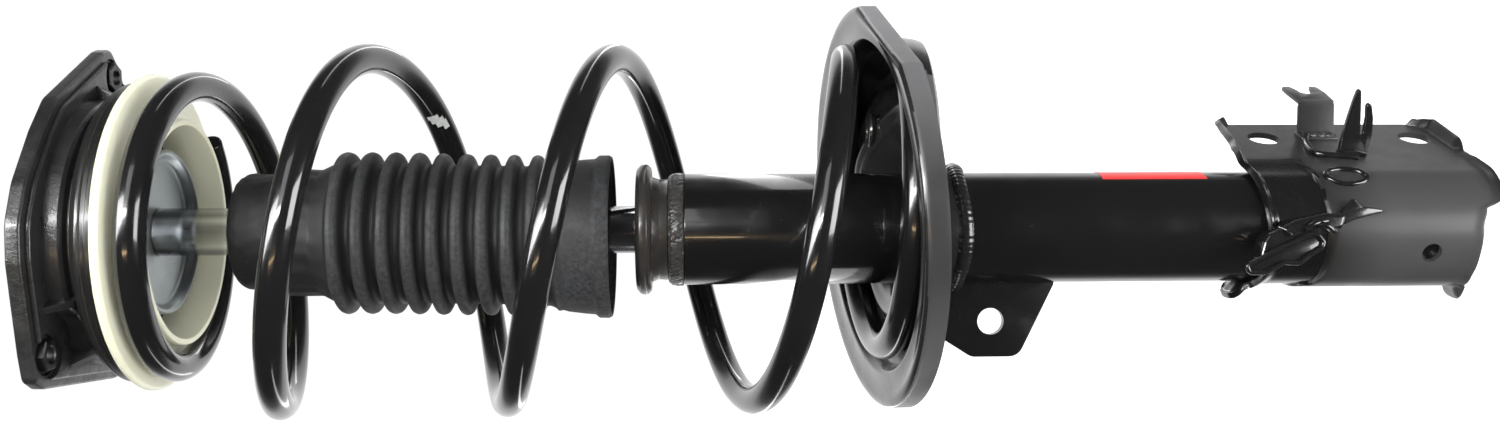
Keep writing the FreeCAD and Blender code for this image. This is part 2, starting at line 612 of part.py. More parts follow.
for k in range(9):
    z = "- dz_bell_first - %d*bell_pitch" % k
    for lst, dr in ((outer, ""), (inner, " - boot_wall")):
        lst.append(("bell_peak_r" + dr, z + " + 1.3"))
        lst.append(("bell_peak_r" + dr, z + " - 1.3"))
        lst.append(("bell_valley_r" + dr, z + " - 0.5*bell_pitch + 1"))
        if k < 8:
            lst.append(("bell_valley_r" + dr, z + " - 0.5*bell_pitch - 1"))
outer += [("cuff_r - 1", "- dz_bell_first - 9*bell_pitch + 2"), ("cuff_r", "- dz_lip + 6"), ("lip_r", "- dz_lip + 3"),
          ("lip_r", "- dz_boot_end + 1"), ("lip_r - 1", "- dz_boot_end")]
inner += [("cuff_r - 1 - boot_wall", "- dz_bell_first - 9*bell_pitch + 2"), ("cuff_r - boot_wall", "- dz_lip + 6"),
          ("lip_r - boot_wall", "- dz_lip + 3"), ("lip_r - boot_wall", "- dz_boot_end")]
keep(revolve("dust_boot", [outer + inner[::-1]]))
keep(revolve("bump_stop", [[
    ("bump_bore_r", "- dz_bump_end"), ("bump_r - 7", "- dz_bump_end"), ("bump_r - 5", "- dz_bump_end + 3"),
    ("bump_r - 4", "- dz_bump_end + 10"), ("bump_groove_r - 2", "- dz_bump_end + 16"), ("bump_r", "- dz_bump_end + 24"),
    ("bump_groove_r", "- dz_bump_end + 34"), ("bump_r", "- dz_bump_end + 42"), ("bump_r", "- dz_bump_top - 6"),
    ("bump_r - 3", "- dz_bump_top"), ("bump_bore_r", "- dz_bump_top")]]))

# ---------------------------------------------------------------------------
# Strut tube, cap and the damper's inner pieces
# ---------------------------------------------------------------------------
keep(box_ring("strut_tube", "tube_in_r", "tube_r", "- dz_tube_end", "- dz_tube_top"))
b = revolve("tube_cap", [[
    ("cap_bore_r", "- dz_cap_neck"), ("cap_neck_r", "- dz_cap_neck"), ("cap_neck_r", "- dz_cap_flange"),
    ("cap_r", "- dz_cap_flange"), ("cap_r", "- dz_cap_top"), ("cap_bore_r", "- dz_cap_top")]])
dress(b, "tube_cap_edge", "PartDesign::Fillet", "2.2", any_of(
    ring_edge(DIM["cap_r"], -DIM["dz_cap_top"]), ring_edge(DIM["cap_r"], -DIM["dz_cap_flange"])))
keep(b)
b = box_ring("rolled_band", "seal_r", "band_r", "- dz_tube_top", "- dz_cap_neck")
dress(b, "rolled_band_edge", "PartDesign::Fillet", "1.2", ring_edge(DIM["band_r"], -DIM["dz_cap_neck"]))
keep(b)
keep(box_ring("rod_seal", "seal_bore_r", "seal_r", "- dz_tube_top", "- dz_cap_neck"))
keep(revolve("rod_guide", [[
    ("guide_bore_r", "- dz_guide_end"), ("ptube_r", "- dz_guide_end"), ("ptube_r", "- dz_guide_end + 6"),
    ("tube_in_r", "- dz_guide_end + 6"), ("tube_in_r", "- dz_tube_top"), ("guide_bore_r", "- dz_tube_top")]]))
keep(box_ring("pressure_tube", "ptube_in_r", "ptube_r", "- dz_ptube_end", "- dz_guide_end"))
keep(revolve("base_valve", [[
    ("0", "- dz_ptube_end - 4"), ("tube_in_r", "- dz_ptube_end - 4"), ("tube_in_r", "- dz_ptube_end"),
    ("valve_r", "- dz_ptube_end"), ("valve_r", "- dz_ptube_end + valve_long"), ("0", "- dz_ptube_end + valve_long")]]))
keep(box_ring("tube_end_cap", "0", "tube_in_r", "- dz_tube_end + 1", "- dz_tube_end + 1 + endcap_thick"))

# ---------------------------------------------------------------------------
# Lower spring seat: pressed pan, rim tilted, floor square to the axis
# ---------------------------------------------------------------------------
ctr = UP * DIM["pan_off"] - FRONT * DIM["pan_back"]
mouth = UP * (DIM["pan_off"] + 0.5) - FRONT * DIM["well_back"]
base = UP * DIM["coil_low_off"]
nrm = V(0, 0, 1) + FRONT * DIM["pan_tilt_f"] - UP * DIM["pan_tilt_u"]


def on_plane(p):
    """The point of the rim plane above or below p."""
    u = p.dot(UP) - DIM["pan_off"]
    f = p.dot(FRONT)
    return V(p.x, p.y, -DIM["dz_pan"] + u * DIM["pan_tilt_u"] - f * DIM["pan_tilt_f"])


nrm.normalize()


def tilted_circle(r, down, c=ctr):
    return Part.Wire([Part.makeCircle(r, on_plane(c) - nrm * down, nrm)])


def flat_circle(r, z, c=base):
    return Part.Wire([Part.makeCircle(r, V(c.x, c.y, z), V(0, 0, 1))])


def cone_between(a, c):
    return Part.makeLoft([a, c], True, True)


th = DIM["pan_sheet"]
pr, rr, fr = DIM["pan_r"], DIM["pan_ring_r"], DIM["pan_floor_r"]
zf = -DIM["dz_pan_floor"]
outer_skin = cone_between(tilted_circle(pr - 2.5, 0), tilted_circle(pr, 2.5)).fuse(
    cone_between(tilted_circle(pr, 2.5), tilted_circle(pr, DIM["pan_skirt"])))
under = cone_between(tilted_circle(pr - th, th), tilted_circle(pr - th, DIM["pan_skirt"] + 5))
ring = outer_skin.cut(under)
well_out = cone_between(tilted_circle(rr + th, -0.01, mouth), flat_circle(fr + 0.5, zf - th))
well_in = cone_between(tilted_circle(rr, -0.02, mouth), flat_circle(fr - th, zf))
hub = Part.makeCylinder(DIM["hub_r"], zf - th + DIM["dz_pan_hub"], V(0, 0, -DIM["dz_pan_hub"]))
collar = Part.makeCone(DIM["hub_r"], DIM["hub_r"] + 8, 8, V(0, 0, zf - th - 8))
top_slab = cone_between(tilted_circle(rr + 20, -40, mouth), tilted_circle(rr + 20, 0, mouth))
pan = ring.fuse([well_out, hub, collar]).cut(well_in).cut(top_slab)
pan = pan.cut(Part.makeCylinder(DIM["tube_r"] + 0.05, 120, V(0, 0, -DIM["dz_pan_hub"] - 20)))
drain = Part.makeCylinder(6.0, 60, on_plane(UP * 48 - FRONT * 40) - V(0, 0, 50))
pan = pan.cut(drain).removeSplitter()
seat = doc.addObject("Part::Feature", "lower_spring_seat")
seat.Shape = pan.Solids[0] if len(pan.Solids) == 1 else pan
seat.Label = "lower_spring_seat"
seat.Placement = PL()
keep(seat)
keep(revolve("seat_weld", [[
    ("tube_r", "- dz_pan_hub"), ("hub_r", "- dz_pan_hub"), ("hub_r - 1", "- dz_pan_hub - 0.5*weld_leg"),
    ("tube_r", "- dz_pan_hub - weld_leg")]]))

# stabiliser link tab, a plate under the tube
b = body("stabiliser_link_tab")
sk = sketch(b, "tab_outline", "XZ_Plane", [[
    ("- tube_r + 2", "- dz_tab_hole + 21"), ("- tube_r + 2", "- dz_tab_hole - 30.2"), ("- tab_hole_drop - 16.8", "- dz_tab_hole - 13.4"),
    ("- tab_hole_drop - 16.8", "- dz_tab_hole + 9.1"), ("- tab_hole_drop - 8.8", "- dz_tab_hole + 23.4")],
    ("circle", "- tab_hole_drop", "- dz_tab_hole", "tab_hole_r")])
pad(b, sk, "tab_plate", "tab_thick", both=True)
dress(b, "tab_corners", "PartDesign::Fillet", "5", lambda e: (
    abs(e.Length - DIM["tab_thick"]) < 0.01 and e.Vertexes[0].Point.x < -DIM["tab_hole_drop"] + 1
    and abs(e.Vertexes[0].Point.x - e.Vertexes[-1].Point.x) < 0.01 and len(e.Vertexes) == 2))
sk = sketch(b, "tab_saddle", "XY_Plane", [("circle", "0", "0", "tube_r")], lift="- dz_tab_hole - 60")
pad(b, sk, "tab_saddle_cut", "120", kind="PartDesign::Pocket", back=True)
# the plate's own -X runs across the tube, opposite to UP
b.Placement = PL(V(0, 0, 0), ROT(V(0, 0, 1), math.degrees(math.atan2(UP.y, UP.x))))
keep(b)

# ---------------------------------------------------------------------------
# Knuckle bracket: pressed U shell around the tube with two ears
# ---------------------------------------------------------------------------
H = "dz_shell_end - dz_shell_top"


def prim(kind, name, z, **sizes):
    o = doc.addObject(kind, name)
    for p, text in sizes.items():
        if p in ("x", "y"):
            continue
        bind(o, p, text)
    x = sizes.get("x", "0")
    y = sizes.get("y", "0")
    o.Placement = PL(V(lin(x)[0], lin(y)[0], lin(z)[0]), ROT())
    for axis, text in (("x", x), ("y", y), ("z", z)):
        if bound(text):
            o.setExpression("Placement.Base." + axis, lin(text)[1])
    return o


def boolean(kind, name, base, tool):
    o = doc.addObject(kind, name)
    o.Base = base
    o.Tool = tool
    return o


oc = prim("Part::Cylinder", "shell_round", "- dz_shell_end", Radius="shell_r", Height=H)
ob = prim("Part::Box", "shell_ears", "- dz_shell_end", Length="ear_x", Width="2*shell_r", Height=H, y="- shell_r")
ic = prim("Part::Cylinder", "shell_bore", "- dz_shell_end - 5", Radius="shell_in_r", Height=H + " + 10")
ib = prim("Part::Box", "shell_gap", "- dz_shell_end - 5", Length="ear_x + 10", Width="2*shell_in_r", Height=H + " + 10", y="- shell_in_r")
solid = boolean("Part::Fuse", "shell_outside", oc, ob)
space = boolean("Part::Fuse", "shell_inside", ic, ib)
u_shell = boolean("Part::Cut", "shell_u", solid, space)

# side outline of the bracket, seen along the bolt axis
b = body("shell_outline")
sk = sketch(b, "shell_outline_sketch", "XZ_Plane", [[
    ("- shell_r - 2", "- dz_shell_top"), ("12", "- dz_shell_top"), ("26", "- dz_shell_top - 6.5"), ("ear_x - 7", "- dz_shell_top - 7.5"),
    ("ear_x", "- dz_shell_top - 14.5"), ("ear_x", "- dz_shell_end + 14"), ("ear_x - 7", "- dz_shell_end + 7.5"),
    ("30", "- dz_shell_end + 5"), ("8", "- dz_shell_end"), ("- 6", "- dz_shell_end + 2"), ("- shell_r - 2", "- dz_shell_end + 23")],
    ("circle", "bolt_x", "- dz_bolt_a", "bolt_hole_r"), ("circle", "bolt_x", "- dz_bolt_b", "bolt_hole_r")])
pad(b, sk, "shell_outline_pad", "4*shell_r", both=True)
trimmed = boolean("Part::Common", "shell_trimmed", u_shell, b)
dr = prim("Part::Cylinder", "shell_drain", "- dz_drain", Radius="drain_r", Height="20")
dang = math.radians(-66.0 - 115.0)
dr.Placement = PL(V(18 * math.cos(dang), 18 * math.sin(dang), -DIM["dz_drain"]),
                  ROT(V(0, 0, 1), V(math.cos(dang), math.sin(dang), 0)))
dr.setExpression("Placement.Base.z", "-dims.dz_drain")
drained = boolean("Part::Cut", "shell_drained", trimmed, dr)
# stiffening lips turned outward at the ends of the ears and under the shell
last = drained
LIPS = [("lip_top_a", "28", "- shell_r - 6", "ear_x - 36", "6.3", "- dz_shell_top - 10"),
        ("lip_top_b", "28", "shell_r - 0.3", "ear_x - 36", "6.3", "- dz_shell_top - 10"),
        ("lip_end_a", "10", "- shell_r - 6", "18", "6.3", "- dz_shell_end + 5"),
        ("lip_end_b", "10", "shell_r - 0.3", "18", "6.3", "- dz_shell_end + 5")]
for nm, x, y, lx, ly, z in LIPS:
    o = prim("Part::Box", nm, z, Length=lx, Width=ly, Height="2.6", x=x, y=y)
    last = boolean("Part::Fuse", nm + "_joined", last, o)
last.Label = "knuckle_bracket"
keep(last, "knuckle_bracket")

# ---------------------------------------------------------------------------
# Small brackets on the knuckle bracket
# ---------------------------------------------------------------------------
# wheel sensor cable bracket: upright tab, top plate with a C notch
b = body("sensor_cable_bracket")
sk = sketch(b, "cable_upright", "YZ_Plane", [[
    ("- shell_r", "- dz_bolt_a - 18.5"), ("- shell_r", "- dz_bolt_a - 36.5"), ("- shell_r - 19", "- dz_bolt_a - 33"),
    ("- shell_r - 19", "- dz_bolt_a - 15")]], lift="43")
pad(b, sk, "cable_upright_pad", "clip_sheet")
sk = sketch(b, "cable_top", "XZ_Plane", [[
    ("43", "- dz_bolt_a - 15"), ("43", "- dz_bolt_a - 33"), ("57", "- dz_bolt_a - 33.5"), ("65", "- dz_bolt_a - 31.5"),
    ("55", "- dz_bolt_a - 28"), ("53.5", "- dz_bolt_a - 24.5"), ("55", "- dz_bolt_a - 21"), ("65", "- dz_bolt_a - 18"),
    ("58", "- dz_bolt_a - 14.5")]], lift="shell_r + 17")
pad(b, sk, "cable_top_pad", "clip_sheet")
keep(b)

# forked clip blade, two prongs of unequal length
b = body("forked_clip")
sk = sketch(b, "fork_outline", "YZ_Plane", [[
    ("- shell_r", "- dz_bolt_a - 26.5"), ("- shell_r", "- dz_bolt_a - 40"), ("- shell_r - 11", "- dz_bolt_a - 40.8"),
    ("- shell_r - 20", "- dz_bolt_a - 39.5"), ("- shell_r - 27", "- dz_bolt_a - 37"), ("- shell_r - 26.5", "- dz_bolt_a - 35.4"),
    ("- shell_r - 20", "- dz_bolt_a - 36.6"), ("- shell_r - 12", "- dz_bolt_a - 36.6"), ("- shell_r - 12", "- dz_bolt_a - 35"),
    ("- shell_r - 22.5", "- dz_bolt_a - 33.6"), ("- shell_r - 34", "- dz_bolt_a - 31.4"), ("- shell_r - 34", "- dz_bolt_a - 29.6"),
    ("- shell_r - 29", "- dz_bolt_a - 28.5"), ("- shell_r - 18.5", "- dz_bolt_a - 27.4"), ("- shell_r - 6", "- dz_bolt_a - 26.6")]],
    lift="16")
pad(b, sk, "fork_pad", "clip_sheet + 0.5")
keep(b)

# brake hose bracket: foot on the shell, standing channel, forked tail
b = body("hose_bracket")
sk = sketch(b, "hose_web", "YZ_Plane", [[
    ("- 16.6", "- dz_bolt_a + 36.6"), ("- 19.6", "- dz_bolt_a + 34"), ("- 19.6", "- dz_bolt_a + 28.5"), ("- 15.1", "- dz_bolt_a + 19.5"),
    ("- 15.6", "- dz_bolt_a + 12.5"), ("- 11.7", "- dz_bolt_a + 8.5"), ("- 8.2", "- dz_bolt_a + 2"), ("- 2.7", "- dz_bolt_a + 4.3"),
    ("- 8.7", "- dz_bolt_a + 20.5")]], lift="shell_r + 11.5")
pad(b, sk, "hose_web_pad", "clip_sheet")
sk = sketch(b, "hose_block", "YZ_Plane", [[
    ("- 16", "- dz_bolt_a + 29"), ("- 6", "- dz_bolt_a + 27.5"), ("- 2.7", "- dz_bolt_a + 25.8"), ("3.2", "- dz_bolt_a + 12.6"),
    ("6.3", "- dz_bolt_a - 1.5"), ("6.3", "- dz_bolt_a - 10.5"), ("- 0.9", "- dz_bolt_a - 10.5"), ("- 5", "- dz_bolt_a + 2"),
    ("- 11", "- dz_bolt_a + 15")]], lift="shell_r - 4")
pad(b, sk, "hose_block_pad", "15.6")
sk = sketch(b, "hose_tail_sketch", "YZ_Plane", [[
    ("6.3", "- dz_bolt_a - 6"), ("6.0", "- dz_bolt_a - 13"), ("13.1", "- dz_bolt_a - 16.6"), ("13.1", "- dz_bolt_a - 18"),
    ("9.6", "- dz_bolt_a - 21.8"), ("8.6", "- dz_bolt_a - 30.5"), ("6.6", "- dz_bolt_a - 30.7"), ("3.5", "- dz_bolt_a - 18"),
    ("- 0.9", "- dz_bolt_a - 9"), ("- 0.9", "- dz_bolt_a - 6")]], lift="shell_r - 4")
pad(b, sk, "hose_tail", "7")
sk = sketch(b, "hose_saddle", "XY_Plane", [("circle", "0", "0", "shell_r + 0.02")], lift="- dz_bolt_a - 40")
pad(b, sk, "hose_saddle_cut", "120", kind="PartDesign::Pocket", back=True)
b.Placement = PL(V(0, 0, 0), ROT(V(0, 0, 1), math.degrees(math.atan2(FRONT.y, FRONT.x))))
keep(b)

# ---------------------------------------------------------------------------
# Check and write
# ---------------------------------------------------------------------------
doc.recompute()
bad = []
for o in doc.Objects:
    st = [str(x) for x in getattr(o, "State", [])]
    if "Invalid" in st or "Error" in st:
        bad.append((o.Name, st))
if bad:
    raise RuntimeError("failed objects: %r" % bad)
os.makedirs("parts", exist_ok=True)
for label, o in NODES.items():
    s = o.Shape
    if s.isNull() or not s.isValid() or not s.Solids:
        raise RuntimeError("bad shape: " + label)
    s.exportStep("parts/%s.step" % label)
    bb = s.BoundBox
    print("%-22s solids %2d vol %10.1f  x %7.1f %7.1f  y %7.1f %7.1f  z %7.1f %7.1f" % (
        label, len(s.Solids), s.Volume, bb.XMin, bb.XMax, bb.YMin, bb.YMax, bb.ZMin, bb.ZMax))
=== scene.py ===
import math

import bmesh
import bpy
import numpy as np
from mathutils import Matrix, Vector


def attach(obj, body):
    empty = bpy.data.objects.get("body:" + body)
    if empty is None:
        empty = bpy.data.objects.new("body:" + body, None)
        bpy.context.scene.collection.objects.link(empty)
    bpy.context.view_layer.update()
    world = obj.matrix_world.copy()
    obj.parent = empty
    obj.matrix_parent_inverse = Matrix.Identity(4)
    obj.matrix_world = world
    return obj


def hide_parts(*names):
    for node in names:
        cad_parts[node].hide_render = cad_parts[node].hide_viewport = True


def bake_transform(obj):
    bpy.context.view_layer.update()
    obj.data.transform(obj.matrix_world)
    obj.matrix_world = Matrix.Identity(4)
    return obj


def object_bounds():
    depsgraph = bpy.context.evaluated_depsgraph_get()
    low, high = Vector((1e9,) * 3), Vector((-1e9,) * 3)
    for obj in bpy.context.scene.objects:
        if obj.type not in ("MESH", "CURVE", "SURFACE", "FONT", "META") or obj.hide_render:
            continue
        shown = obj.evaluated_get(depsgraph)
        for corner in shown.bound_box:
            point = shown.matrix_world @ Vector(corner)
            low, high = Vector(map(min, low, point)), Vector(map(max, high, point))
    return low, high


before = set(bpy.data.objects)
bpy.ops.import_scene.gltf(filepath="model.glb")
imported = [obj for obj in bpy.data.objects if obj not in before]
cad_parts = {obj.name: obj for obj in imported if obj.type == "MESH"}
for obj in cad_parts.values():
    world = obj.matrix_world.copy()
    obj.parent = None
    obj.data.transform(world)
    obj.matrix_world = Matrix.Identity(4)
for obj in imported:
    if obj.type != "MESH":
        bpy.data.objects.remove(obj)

START_BOX = [list(v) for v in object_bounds()]
MM = 0.001

# ---------------------------------------------------------------------------
# Directions. +Z is the strut axis. UP and FRONT are the two directions across
# the strut that the picture shows as upwards and towards the viewer.
# ---------------------------------------------------------------------------
SIDE = math.radians(24.0)
UP = np.array([math.sin(SIDE), -math.cos(SIDE), 0.0])
FRONT = np.array([-math.cos(SIDE), -math.sin(SIDE), 0.0])
DOWN = np.array([0.0, 0.0, -1.0])

# ---------------------------------------------------------------------------
# Camera
# ---------------------------------------------------------------------------
F_PX, YAW, ELEV, ROLL = 1350.0, 2.5, 0.5, 0.25
X0, Y0, MM_PER_PX, CX, CY = 730.0, 229.0, 0.47, 750.0, 210.5


def camera_setup():
    dist = F_PX * MM_PER_PX
    o = np.array([(X0 - CX) * MM_PER_PX, -(Y0 - CY) * MM_PER_PX, -dist])
    a, e, r = math.radians(YAW), math.radians(ELEV), math.radians(ROLL)
    ax = np.array([math.cos(a), 0, -math.sin(a)])
    fr = np.array([math.sin(a), 0, math.cos(a)])
    up = np.array([0, 1.0, 0])

    def rx(v):
        return np.array([v[0], v[1] * math.cos(e) - v[2] * math.sin(e), v[1] * math.sin(e) + v[2] * math.cos(e)])

    def rz(v):
        return np.array([v[0] * math.cos(r) - v[1] * math.sin(r), v[0] * math.sin(r) + v[1] * math.cos(r), v[2]])
    A, U, F = [rz(rx(v)) for v in (ax, up, fr)]
    base = np.array([0, 0, -297.0])

    def to_part(v):
        return (v @ A) * DOWN + (v @ U) * UP + (v @ F) * FRONT
    pos = base + to_part(-o)
    cols = [to_part(np.array(v, float)) for v in ((1, 0, 0), (0, 1, 0), (0, 0, 1))]
    m = Matrix([[cols[c][i] for c in range(3)] + [pos[i] * MM] for i in range(3)] + [[0, 0, 0, 1]])
    cam = bpy.data.cameras.new("camera")
    cam.sensor_width = 36.0
    cam.sensor_fit = "HORIZONTAL"
    cam.lens = F_PX / 1500.0 * 36.0
    cam.clip_start = 0.01
    cam.clip_end = 60.0
    ob = bpy.data.objects.new("camera", cam)
    bpy.context.scene.collection.objects.link(ob)
    ob.matrix_world = m
    bpy.context.scene.camera = ob
    return ob, Vector(pos * MM), Vector(cols[2]).normalized()


CAM, CAM_POS, CAM_BACK = camera_setup()


# ---------------------------------------------------------------------------
# Mesh helpers
# ---------------------------------------------------------------------------
def new_object(name, verts, faces):
    me = bpy.data.meshes.new(name)
    me.from_pydata([tuple(float(c) * MM for c in v) for v in verts], [], [tuple(f) for f in faces])
    me.update()
    ob = bpy.data.objects.new(name, me)
    bpy.context.scene.collection.objects.link(ob)
    return ob


def recalc(ob):
    bm = bmesh.new()
    bm.from_mesh(ob.data)
    bmesh.ops.remove_doubles(bm, verts=bm.verts, dist=1e-7)
    bmesh.ops.recalc_face_normals(bm, faces=bm.faces)
    bm.to_mesh(ob.data)
    bm.free()


def smooth(ob, angle=35.0):
    me = ob.data
    me.polygons.foreach_set("use_smooth", [True] * len(me.polygons))
    me.set_sharp_from_angle(angle=math.radians(angle))
    me.update()
    return ob


def apply_all(ob):
    """Turns the object's modifiers into its mesh."""
    bpy.context.view_layer.update()
    dg = bpy.context.evaluated_depsgraph_get()
    me = bpy.data.meshes.new_from_object(ob.evaluated_get(dg))
    old = ob.data
    ob.modifiers.clear()
    ob.data = me
    bpy.data.meshes.remove(old)
    return ob


def bevel(ob, width, segments=3, angle=30.0):
    m = ob.modifiers.new("bevel", "BEVEL")
    m.width = width * MM
    m.segments = segments
    m.limit_method = "ANGLE"
    m.angle_limit = math.radians(angle)
    return ob


def cut(ob, *tools):
    for t in tools:
        m = ob.modifiers.new("cut", "BOOLEAN")
        m.operation = "DIFFERENCE"
        m.solver = "EXACT"
        m.object = t
    apply_all(ob)
    for t in tools:
        bpy.data.objects.remove(t, do_unlink=True)
    return ob


def join(name, *obs):
    """Joins meshes into one object."""
    bm = bmesh.new()
    for o in obs:
        bm.from_mesh(o.data)
    me = bpy.data.meshes.new(name)
    bm.to_mesh(me)
    bm.free()
    ob = bpy.data.objects.new(name, me)
    bpy.context.scene.collection.objects.link(ob)
    for o in obs:
        bpy.data.objects.remove(o, do_unlink=True)
    return ob


def soften(profile, r=0.8, steps=4, closed=True):
    """Rounds the corners of a 2D loop. A point may carry its own radius as a third number."""
    n = len(profile)
    out = []
    for i in range(n):
        p = np.array(profile[i][:2], float)
        rad = profile[i][2] if len(profile[i]) > 2 else r
        if not closed and i in (0, n - 1):
            out.append(tuple(p))
            continue
        a = np.array(profile[i - 1][:2], float)
        c = np.array(profile[(i + 1) % n][:2], float)
        da, dc = a - p, c - p
        la, lc = np.linalg.norm(da), np.linalg.norm(dc)
        if rad <= 0 or la < 1e-9 or lc < 1e-9:
            out.append(tuple(p))
            continue
        da, dc = da / la, dc / lc
        cosang = float(np.clip(da @ dc, -1, 1))
        ang = math.acos(cosang)
        if ang > math.radians(172):
            out.append(tuple(p))
            continue
        t = min(rad / math.tan(ang / 2), 0.45 * la, 0.45 * lc)
        rr = t * math.tan(ang / 2)
        bis = da + dc
        bis = bis / np.linalg.norm(bis)
        centre = p + bis * (rr / math.sin(ang / 2))
        s, e = p + da * t, p + dc * t
        va, ve = s - centre, e - centre
        a0, a1 = math.atan2(va[1], va[0]), math.atan2(ve[1], ve[0])
        d = (a1 - a0 + math.pi) % (2 * math.pi) - math.pi
        for k in range(steps + 1):
            th = a0 + d * k / steps
            out.append((centre[0] + rr * math.cos(th), centre[1] + rr * math.sin(th)))
    return out


def lathe(name, profile, seg=160, wobble=None):
    """A turned piece from a closed loop of (radius, height)."""
    pts = np.array(profile, float)
    n = len(pts)
    verts, faces = [], []
    for j in range(seg):
        th = 2 * math.pi * j / seg
        c, s = math.cos(th), math.sin(th)
        for r, z in pts:
            if wobble:
                r, z = wobble(r, z, th)
            verts.append((r * c, r * s, z))
    for j in range(seg):
        k = (j + 1) % seg
        for i in range(n):
            m = (i + 1) % n
            faces.append((j * n + i, k * n + i, k * n + m, j * n + m))
    ob = new_object(name, verts, faces)
    recalc(ob)
    return ob


def plate(name, outline, thick, origin, ux, uy, corner=0.0, edge=0.4, both=True, steps=4, segs=3):
    """A flat piece: an outline in the plane (ux, uy) at origin, given a thickness along ux x uy."""
    o, ux, uy = np.array(origin, float), np.array(ux, float), np.array(uy, float)
    nz = np.cross(ux, uy)
    nz = nz / np.linalg.norm(nz)
    pts = soften(outline, corner, steps) if corner > 0 or any(len(p) > 2 for p in outline) else outline
    lo, hi = (-thick / 2, thick / 2) if both else (0, thick)
    n = len(pts)
    verts = [o + ux * p[0] + uy * p[1] + nz * lo for p in pts] + [o + ux * p[0] + uy * p[1] + nz * hi for p in pts]
    faces = [tuple(range(n))[::-1], tuple(range(n, 2 * n))] + [(i, (i + 1) % n, n + (i + 1) % n, n + i) for i in range(n)]
    ob = new_object(name, verts, faces)
    recalc(ob)
    if edge > 0:
        bevel(ob, edge, segs, 40)
        apply_all(ob)
    return ob


def rod_between(name, a, b, r, seg=48, r2=None):
    """A plain round bar, used as a cutting tool."""
    a, b = np.array(a, float), np.array(b, float)
    d = b - a
    d = d / np.linalg.norm(d)
    x = np.cross(d, [0.3, 0.5, 0.81])
    x = x / np.linalg.norm(x)
    y = np.cross(d, x)
    r2 = r if r2 is None else r2
    verts = [p + (x * math.cos(2 * math.pi * k / seg) + y * math.sin(2 * math.pi * k / seg)) * rr
             for p, rr in ((a, r), (b, r2)) for k in range(seg)]
    faces = [tuple(range(seg))[::-1], tuple(range(seg, 2 * seg))] + \
            [(k, (k + 1) % seg, seg + (k + 1) % seg, seg + k) for k in range(seg)]
    ob = new_object(name, verts, faces)
    recalc(ob)
    return ob


def sweep(name, centre, radius, seg=40, caps=True, flat=None):
    """A round bar along points. radius may be a list."""
    P = np.array(centre, float)
    n = len(P)
    T = np.gradient(P, axis=0)
    T = T / np.linalg.norm(T, axis=1)[:, None]
    x = np.cross(T[0], [0, 0, 1.0])
    if np.linalg.norm(x) < 1e-3:
        x = np.cross(T[0], [1.0, 0, 0])
    x = x / np.linalg.norm(x)
    verts, faces = [], []
    rad = radius if hasattr(radius, "__len__") else [radius] * n
    for i in range(n):
        if i:
            x = x - T[i] * (x @ T[i])
            x = x / np.linalg.norm(x)
        y = np.cross(T[i], x)
        for k in range(seg):
            a = 2 * math.pi * k / seg
            verts.append(P[i] + (x * math.cos(a) + y * math.sin(a)) * rad[i])
    for i in range(n - 1):
        for k in range(seg):
            m = (k + 1) % seg
            faces.append((i * seg + k, i * seg + m, (i + 1) * seg + m, (i + 1) * seg + k))
    if caps:
        faces.append(tuple(range(seg))[::-1])
        faces.append(tuple((n - 1) * seg + k for k in range(seg)))
    ob = new_object(name, verts, faces)
    recalc(ob)
    return ob


